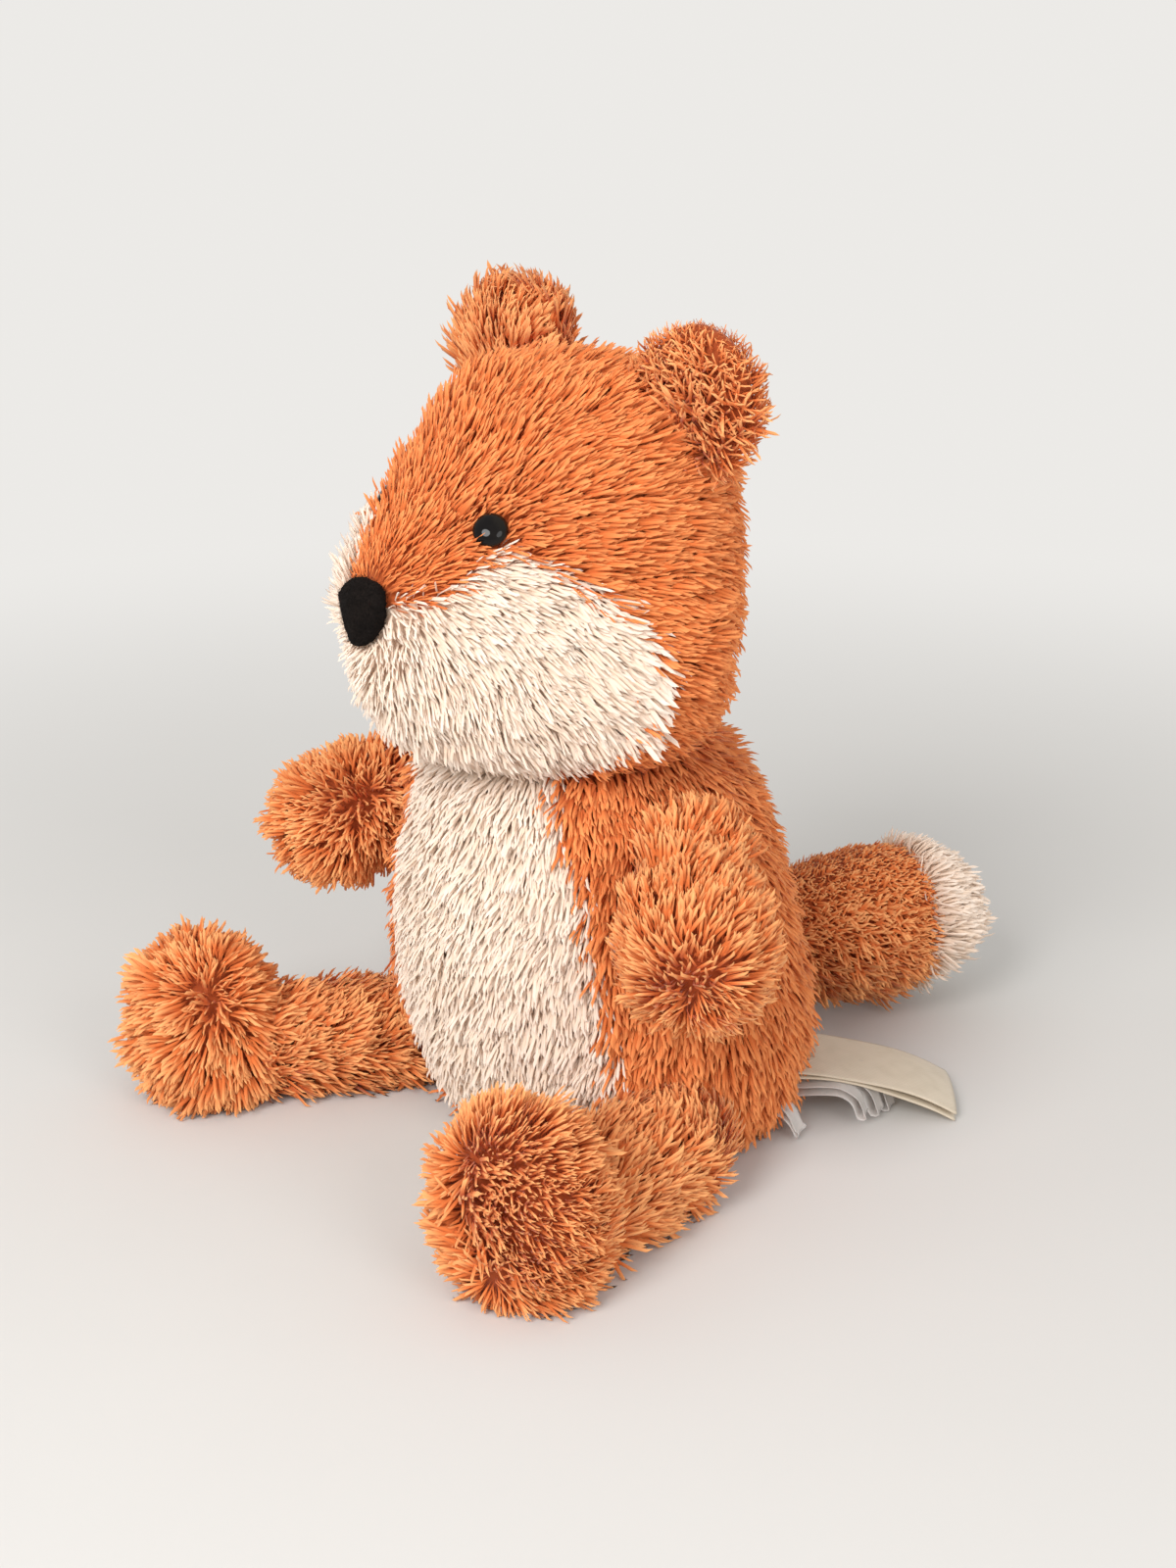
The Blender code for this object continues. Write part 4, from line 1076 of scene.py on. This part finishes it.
def strip_line(name, width):
    """The middle line of a strip's solid, in order, and the way across it."""
    strip = merged((name,))
    across = Vector()
    for edge in strip.edges:
        line = edge.verts[1].co - edge.verts[0].co
        if abs(line.length - width) < 2e-6:
            across += line if not across.length or across.dot(line) > 0 else -line
    across.normalize()
    places = [v.co.dot(across) for v in strip.verts]
    middle = (min(places) + max(places)) / 2
    low = {v for v in strip.verts if v.co.dot(across) < middle}
    beside = {}
    for edge in strip.edges:
        caps = sum(all(v in low for v in face.verts) for face in edge.link_faces)
        if edge.verts[0] in low and edge.verts[1] in low and caps == 1:
            for one, other in (edge.verts, reversed(edge.verts)):
                beside.setdefault(one, []).append(other)
    start = next(iter(beside))
    loop, before = [start], None
    while True:
        after = [v for v in beside[loop[-1]] if v is not before]
        before = loop[-1]
        if after[0] is start:
            break
        loop.append(after[0])
    gaps = sorted(range(len(loop)), key=lambda k: (loop[k].co - loop[k - 1].co).length)[:2]
    first, second = sorted(gaps)
    one = [v.co.copy() for v in loop[first:second]]
    other = [v.co.copy() for v in loop[second:] + loop[:first]][::-1]
    strip.free()
    line = [(a + b) / 2 + across * width / 2 for a, b in zip(one, other)]
    if line[0].xy.length > line[-1].xy.length + 1e-4:
        line.reverse()
    return line, across


def resampled(line, count):
    """Points evenly spaced along a smooth curve through the given ones."""
    ends = [2 * line[0] - line[1], *line, 2 * line[-1] - line[-2]]
    fine = []
    for k in range(1, len(ends) - 2):
        a, b, c, d = ends[k - 1:k + 3]
        for j in range(24):
            t = j / 24
            fine.append(0.5 * (2 * b + (c - a) * t + (2 * a - 5 * b + 4 * c - d) * t ** 2
                               + (3 * b - a - 3 * c + d) * t ** 3))
    fine.append(line[-1])
    lengths = np.concatenate([[0], np.cumsum([(q - p).length for p, q in zip(fine, fine[1:])])])
    even = np.linspace(0, lengths[-1], count)
    table = np.array(fine)
    return np.stack([np.interp(even, lengths, table[:, k]) for k in range(3)], 1), lengths[-1]


def cloth_strip(name, line, across, width, thickness, rows, columns, shape=None):
    """A closed strip of cloth along a line, with its own UV map in metres."""
    middle, length = resampled(line, rows)
    across = np.array(across)
    ahead = unit(np.gradient(middle, axis=0))
    lift = unit(np.cross(ahead, across))
    share = np.linspace(-0.5, 0.5, columns)
    sheet = middle[:, None] + share[None, :, None] * width * across
    if shape is not None:
        bend = shape(np.linspace(0, 1, rows)[:, None], share[None, :])
        sheet = sheet + bend[..., None] * lift[:, None]
    points = np.concatenate([(sheet + lift[:, None] * thickness / 2).reshape(-1, 3),
                             (sheet - lift[:, None] * thickness / 2).reshape(-1, 3)])
    under = rows * columns
    grid = np.arange(under).reshape(rows, columns)
    face = np.stack([grid[:-1, :-1], grid[1:, :-1], grid[1:, 1:], grid[:-1, 1:]], -1).reshape(-1, 4)
    border = np.concatenate([grid[0], grid[1:, -1], grid[-1, -2::-1], grid[-2:0:-1, 0]])
    after = np.roll(border, -1)
    rim = np.stack([border, after, after + under, border + under], 1)
    mesh = mesh_from(name, points, np.concatenate([face, face[:, ::-1] + under, rim]))
    weave = mesh.uv_layers.new(name="weave")
    for loop in mesh.loops:
        row, column = divmod(loop.vertex_index % under, columns)
        weave.data[loop.index].uv = (column / (columns - 1) * width, row / (rows - 1) * length)
    fixed = bmesh.new()
    fixed.from_mesh(mesh)
    bmesh.ops.recalc_face_normals(fixed, faces=fixed.faces)
    fixed.to_mesh(mesh)
    fixed.free()
    return new_object(name, mesh)


def make_label():
    """Two plies of a bare woven label, a little apart at their free end."""
    for name, sign in (("label_upper", 1), ("label_lower", -1)):
        def curl(along, aside, sign=sign):
            return sign * 0.0005 * along ** 2 - 0.0009 * along * (4 * aside ** 2) + 0.0002 * np.sin(9 * along + sign)

        line, across = strip_line(name, LABEL_WIDTH)
        ply = cloth_strip(name + "_ply", line, across, LABEL_WIDTH, sizes().ply_thickness, 46, 27, curl)
        ply.data.materials.append(finish("woven_label"))
        placed(ply, "body", "woven_label", name)


def hung(line, across, turn, share):
    """A folded tape's line and way across, swung out from under the label, with its fold hanging to the floor."""
    swing = Matrix.Rotation(math.radians(turn), 3, "Z")
    root = (line[0] + line[-1]) / 2
    reach = max((place - root).xy.length for place in line)
    ahead = swing @ (line[len(line) // 2] - root)
    ahead = Vector((ahead.x, ahead.y, 0)).normalized()
    steps, made = 40, []
    for place in line:
        along = (place - root).xy.length
        above = place.z - root.z + TAPE_SAG * (along / reach) ** 3
        along *= share
        centre, angle = Vector(), 0.0
        for k in range(steps):
            portion = (k + 0.5) / steps * along / (reach * share)
            angle = TAPE_BEND * float(smooth_step(portion, 0.52, 0.92)) - 0.16 * (portion < 0.5)
            centre += (ahead * math.cos(angle) - Vector((0, 0, math.sin(angle)))) * along / steps
        spot = root + centre + above * (ahead * math.sin(angle) + Vector((0, 0, math.cos(angle))))
        spot.z = max(spot.z, 2 * FLOOR_GAP)
        made.append(spot)
    return made, swing @ across


def make_tapes():
    """Three folded satin tapes and a short loop."""
    for number in range(1, 5):
        def cup(along, aside, number=number):
            return 0.0003 * (1 - 4 * aside ** 2) * np.sin(math.pi * along) + 0.0002 * np.sin(7 * along + number)

        name = f"care_tape_{number}"
        line, across = strip_line(name, TAPE_WIDTH)
        if number in TAPE_TURNS:
            line, across = hung(line, across, *TAPE_TURNS[number])
        tape = cloth_strip(name + "_satin", line, across, TAPE_WIDTH, sizes().tape_thickness, 60, 9, cup)
        tape.data.materials.append(finish("satin_tape"))
        placed(tape, "body", "care_tape", name)


def make_filling():
    """Finishes for what stays inside."""
    for name, node in NODES.items():
        if not node.hide_render:
            kind = "fibre" if "stuffing" in name else "pellet" if "pellet" in name else None
            node.data.materials.clear()
            node.data.materials.append(finish(kind + "_filling" if kind else "washer_plastic"))


def lamp(name, place, power):
    data = bpy.data.lights.new(name, "AREA")
    data.shape, data.size, data.energy = "DISK", LAMP_SIZE, power
    thing = new_object(name, data)
    thing.location = place
    thing.rotation_euler = (Vector(LAMP_AIM) - Vector(place)).to_track_quat("-Z", "Y").to_euler()


def make_stage():
    """A pale floor, two soft lamps, an even sky and the camera."""
    studio = bpy.context.scene.studio_sizes
    count = 96
    turns = [2 * math.pi * k / count for k in range(count)]
    ring = [(FLOOR_RADIUS * math.cos(turn), FLOOR_RADIUS * math.sin(turn), 0) for turn in turns]
    floor = new_object("floor", mesh_from("floor", ring, [range(count)]))
    floor.data.materials.append(finish("studio_floor"))
    lamp("key_lamp", KEY_PLACE, studio.key_power)
    lamp("fill_lamp", FILL_PLACE, studio.fill_power)

    world = bpy.data.worlds.new("studio")
    bpy.context.scene.world = world
    world.use_nodes = True
    tree = world.node_tree
    tree.nodes.clear()
    path = add(tree, "ShaderNodeLightPath")
    seen = path["Is Camera Ray"].least(path["Is Transmission Ray"])
    even = add(tree, "ShaderNodeBackground", None, {"Color": (1.0, 0.985, 0.96, 1.0), "Strength": studio.sky})
    pale = add(tree, "ShaderNodeBackground", None, {"Color": (*colours().backdrop, 1.0), "Strength": 1.0})
    both = add(tree, "ShaderNodeMixShader", None, {0: seen, 1: even, 2: pale})
    add(tree, "ShaderNodeOutputWorld", None, {"Surface": both})

    data = bpy.data.cameras.new("camera")
    data.lens, data.sensor_width, data.sensor_fit = studio.lens, 36.0, "AUTO"
    data.clip_start, data.clip_end = 0.01, 50.0
    camera = new_object("camera", data)
    turn, pitch = studio.bearing, studio.pitch
    away = Vector((math.sin(turn), -math.cos(turn), 0))
    right = Vector((math.cos(turn), math.sin(turn), 0))
    camera.location = studio.distance * away - studio.aside * right + Vector((0, 0, studio.height))
    look = -away * math.cos(pitch) - Vector((0, 0, math.sin(pitch)))
    camera.rotation_euler = look.to_track_quat("-Z", "Y").to_euler()
    bpy.context.scene.camera = camera
    bpy.context.scene.view_settings.view_transform = "Standard"


def clear_shapes():
    """Removes the single locks that the pile was made from."""
    made = bpy.data.collections.get("Locks")
    if made is not None:
        for thing in list(made.objects):
            bpy.data.objects.remove(thing)
        bpy.data.collections.remove(made)


# ---------------------------------------------------------------- add-on


def operator_for(name, label, text, make):
    """An operator that makes one group of pieces."""
    def execute(self, context):
        make()
        return {"FINISHED"}

    return type("FOX_OT_" + name, (bpy.types.Operator,), {
        "__doc__": text, "bl_idname": "plush_fox." + name, "bl_label": label, "execute": execute})


OPERATORS = tuple(operator_for(*row) for row in (
    ("body", "Body and belly", "Makes the body's orange cover and the white belly panel", make_body),
    ("head", "Head and muzzle", "Makes the head's orange cover and the white muzzle panel", make_head),
    ("ears", "Ears", "Makes both ears", make_ears),
    ("arms", "Arms", "Makes both arms", make_arms),
    ("legs", "Legs and feet", "Makes both legs and feet", make_legs),
    ("tail", "Tail", "Makes the tail and its white tip", make_tail),
    ("eyes", "Eyes", "Makes both eyes", make_eyes),
    ("nose", "Nose", "Makes the felt nose", make_nose),
    ("label", "Label", "Makes the woven label's two plies", make_label),
    ("tapes", "Tapes", "Makes the folded satin tapes", make_tapes),
    ("filling", "Filling", "Gives the filling and washers inside their finishes", make_filling),
    ("stage", "Studio", "Makes the floor, the light and the camera", make_stage),
))


class FOX_PT_panel(bpy.types.Panel):
    """Lists the toy's pieces and their sizes and colours"""

    bl_idname = "FOX_PT_panel"
    bl_label = "Plush fox"
    bl_space_type = "VIEW_3D"
    bl_region_type = "UI"
    bl_category = "Plush fox"

    def draw(self, context):
        for operator in OPERATORS:
            self.layout.operator(operator.bl_idname)
        for group in (context.scene.plush_sizes, context.scene.plush_colours, context.scene.studio_sizes):
            box = self.layout.box()
            for name in group.__annotations__:
                box.prop(group, name)


CLASSES = (PlushSizes, PlushColours, StudioSizes, *OPERATORS, FOX_PT_panel)


def register():
    for made in CLASSES:
        bpy.utils.register_class(made)
    bpy.types.Scene.plush_sizes = PointerProperty(type=PlushSizes)
    bpy.types.Scene.plush_colours = PointerProperty(type=PlushColours)
    bpy.types.Scene.studio_sizes = PointerProperty(type=StudioSizes)


def unregister():
    del bpy.types.Scene.studio_sizes
    del bpy.types.Scene.plush_colours
    del bpy.types.Scene.plush_sizes
    for made in reversed(CLASSES):
        bpy.utils.unregister_class(made)


def main():
    """Makes every piece in order, and writes the boxes of the solids and of the dressed toy."""
    register()
    for operator in OPERATORS:
        group, name = operator.bl_idname.split(".")
        getattr(getattr(bpy.ops, group), name)()
    clear_shapes()


if __name__ == "__main__":
    main()
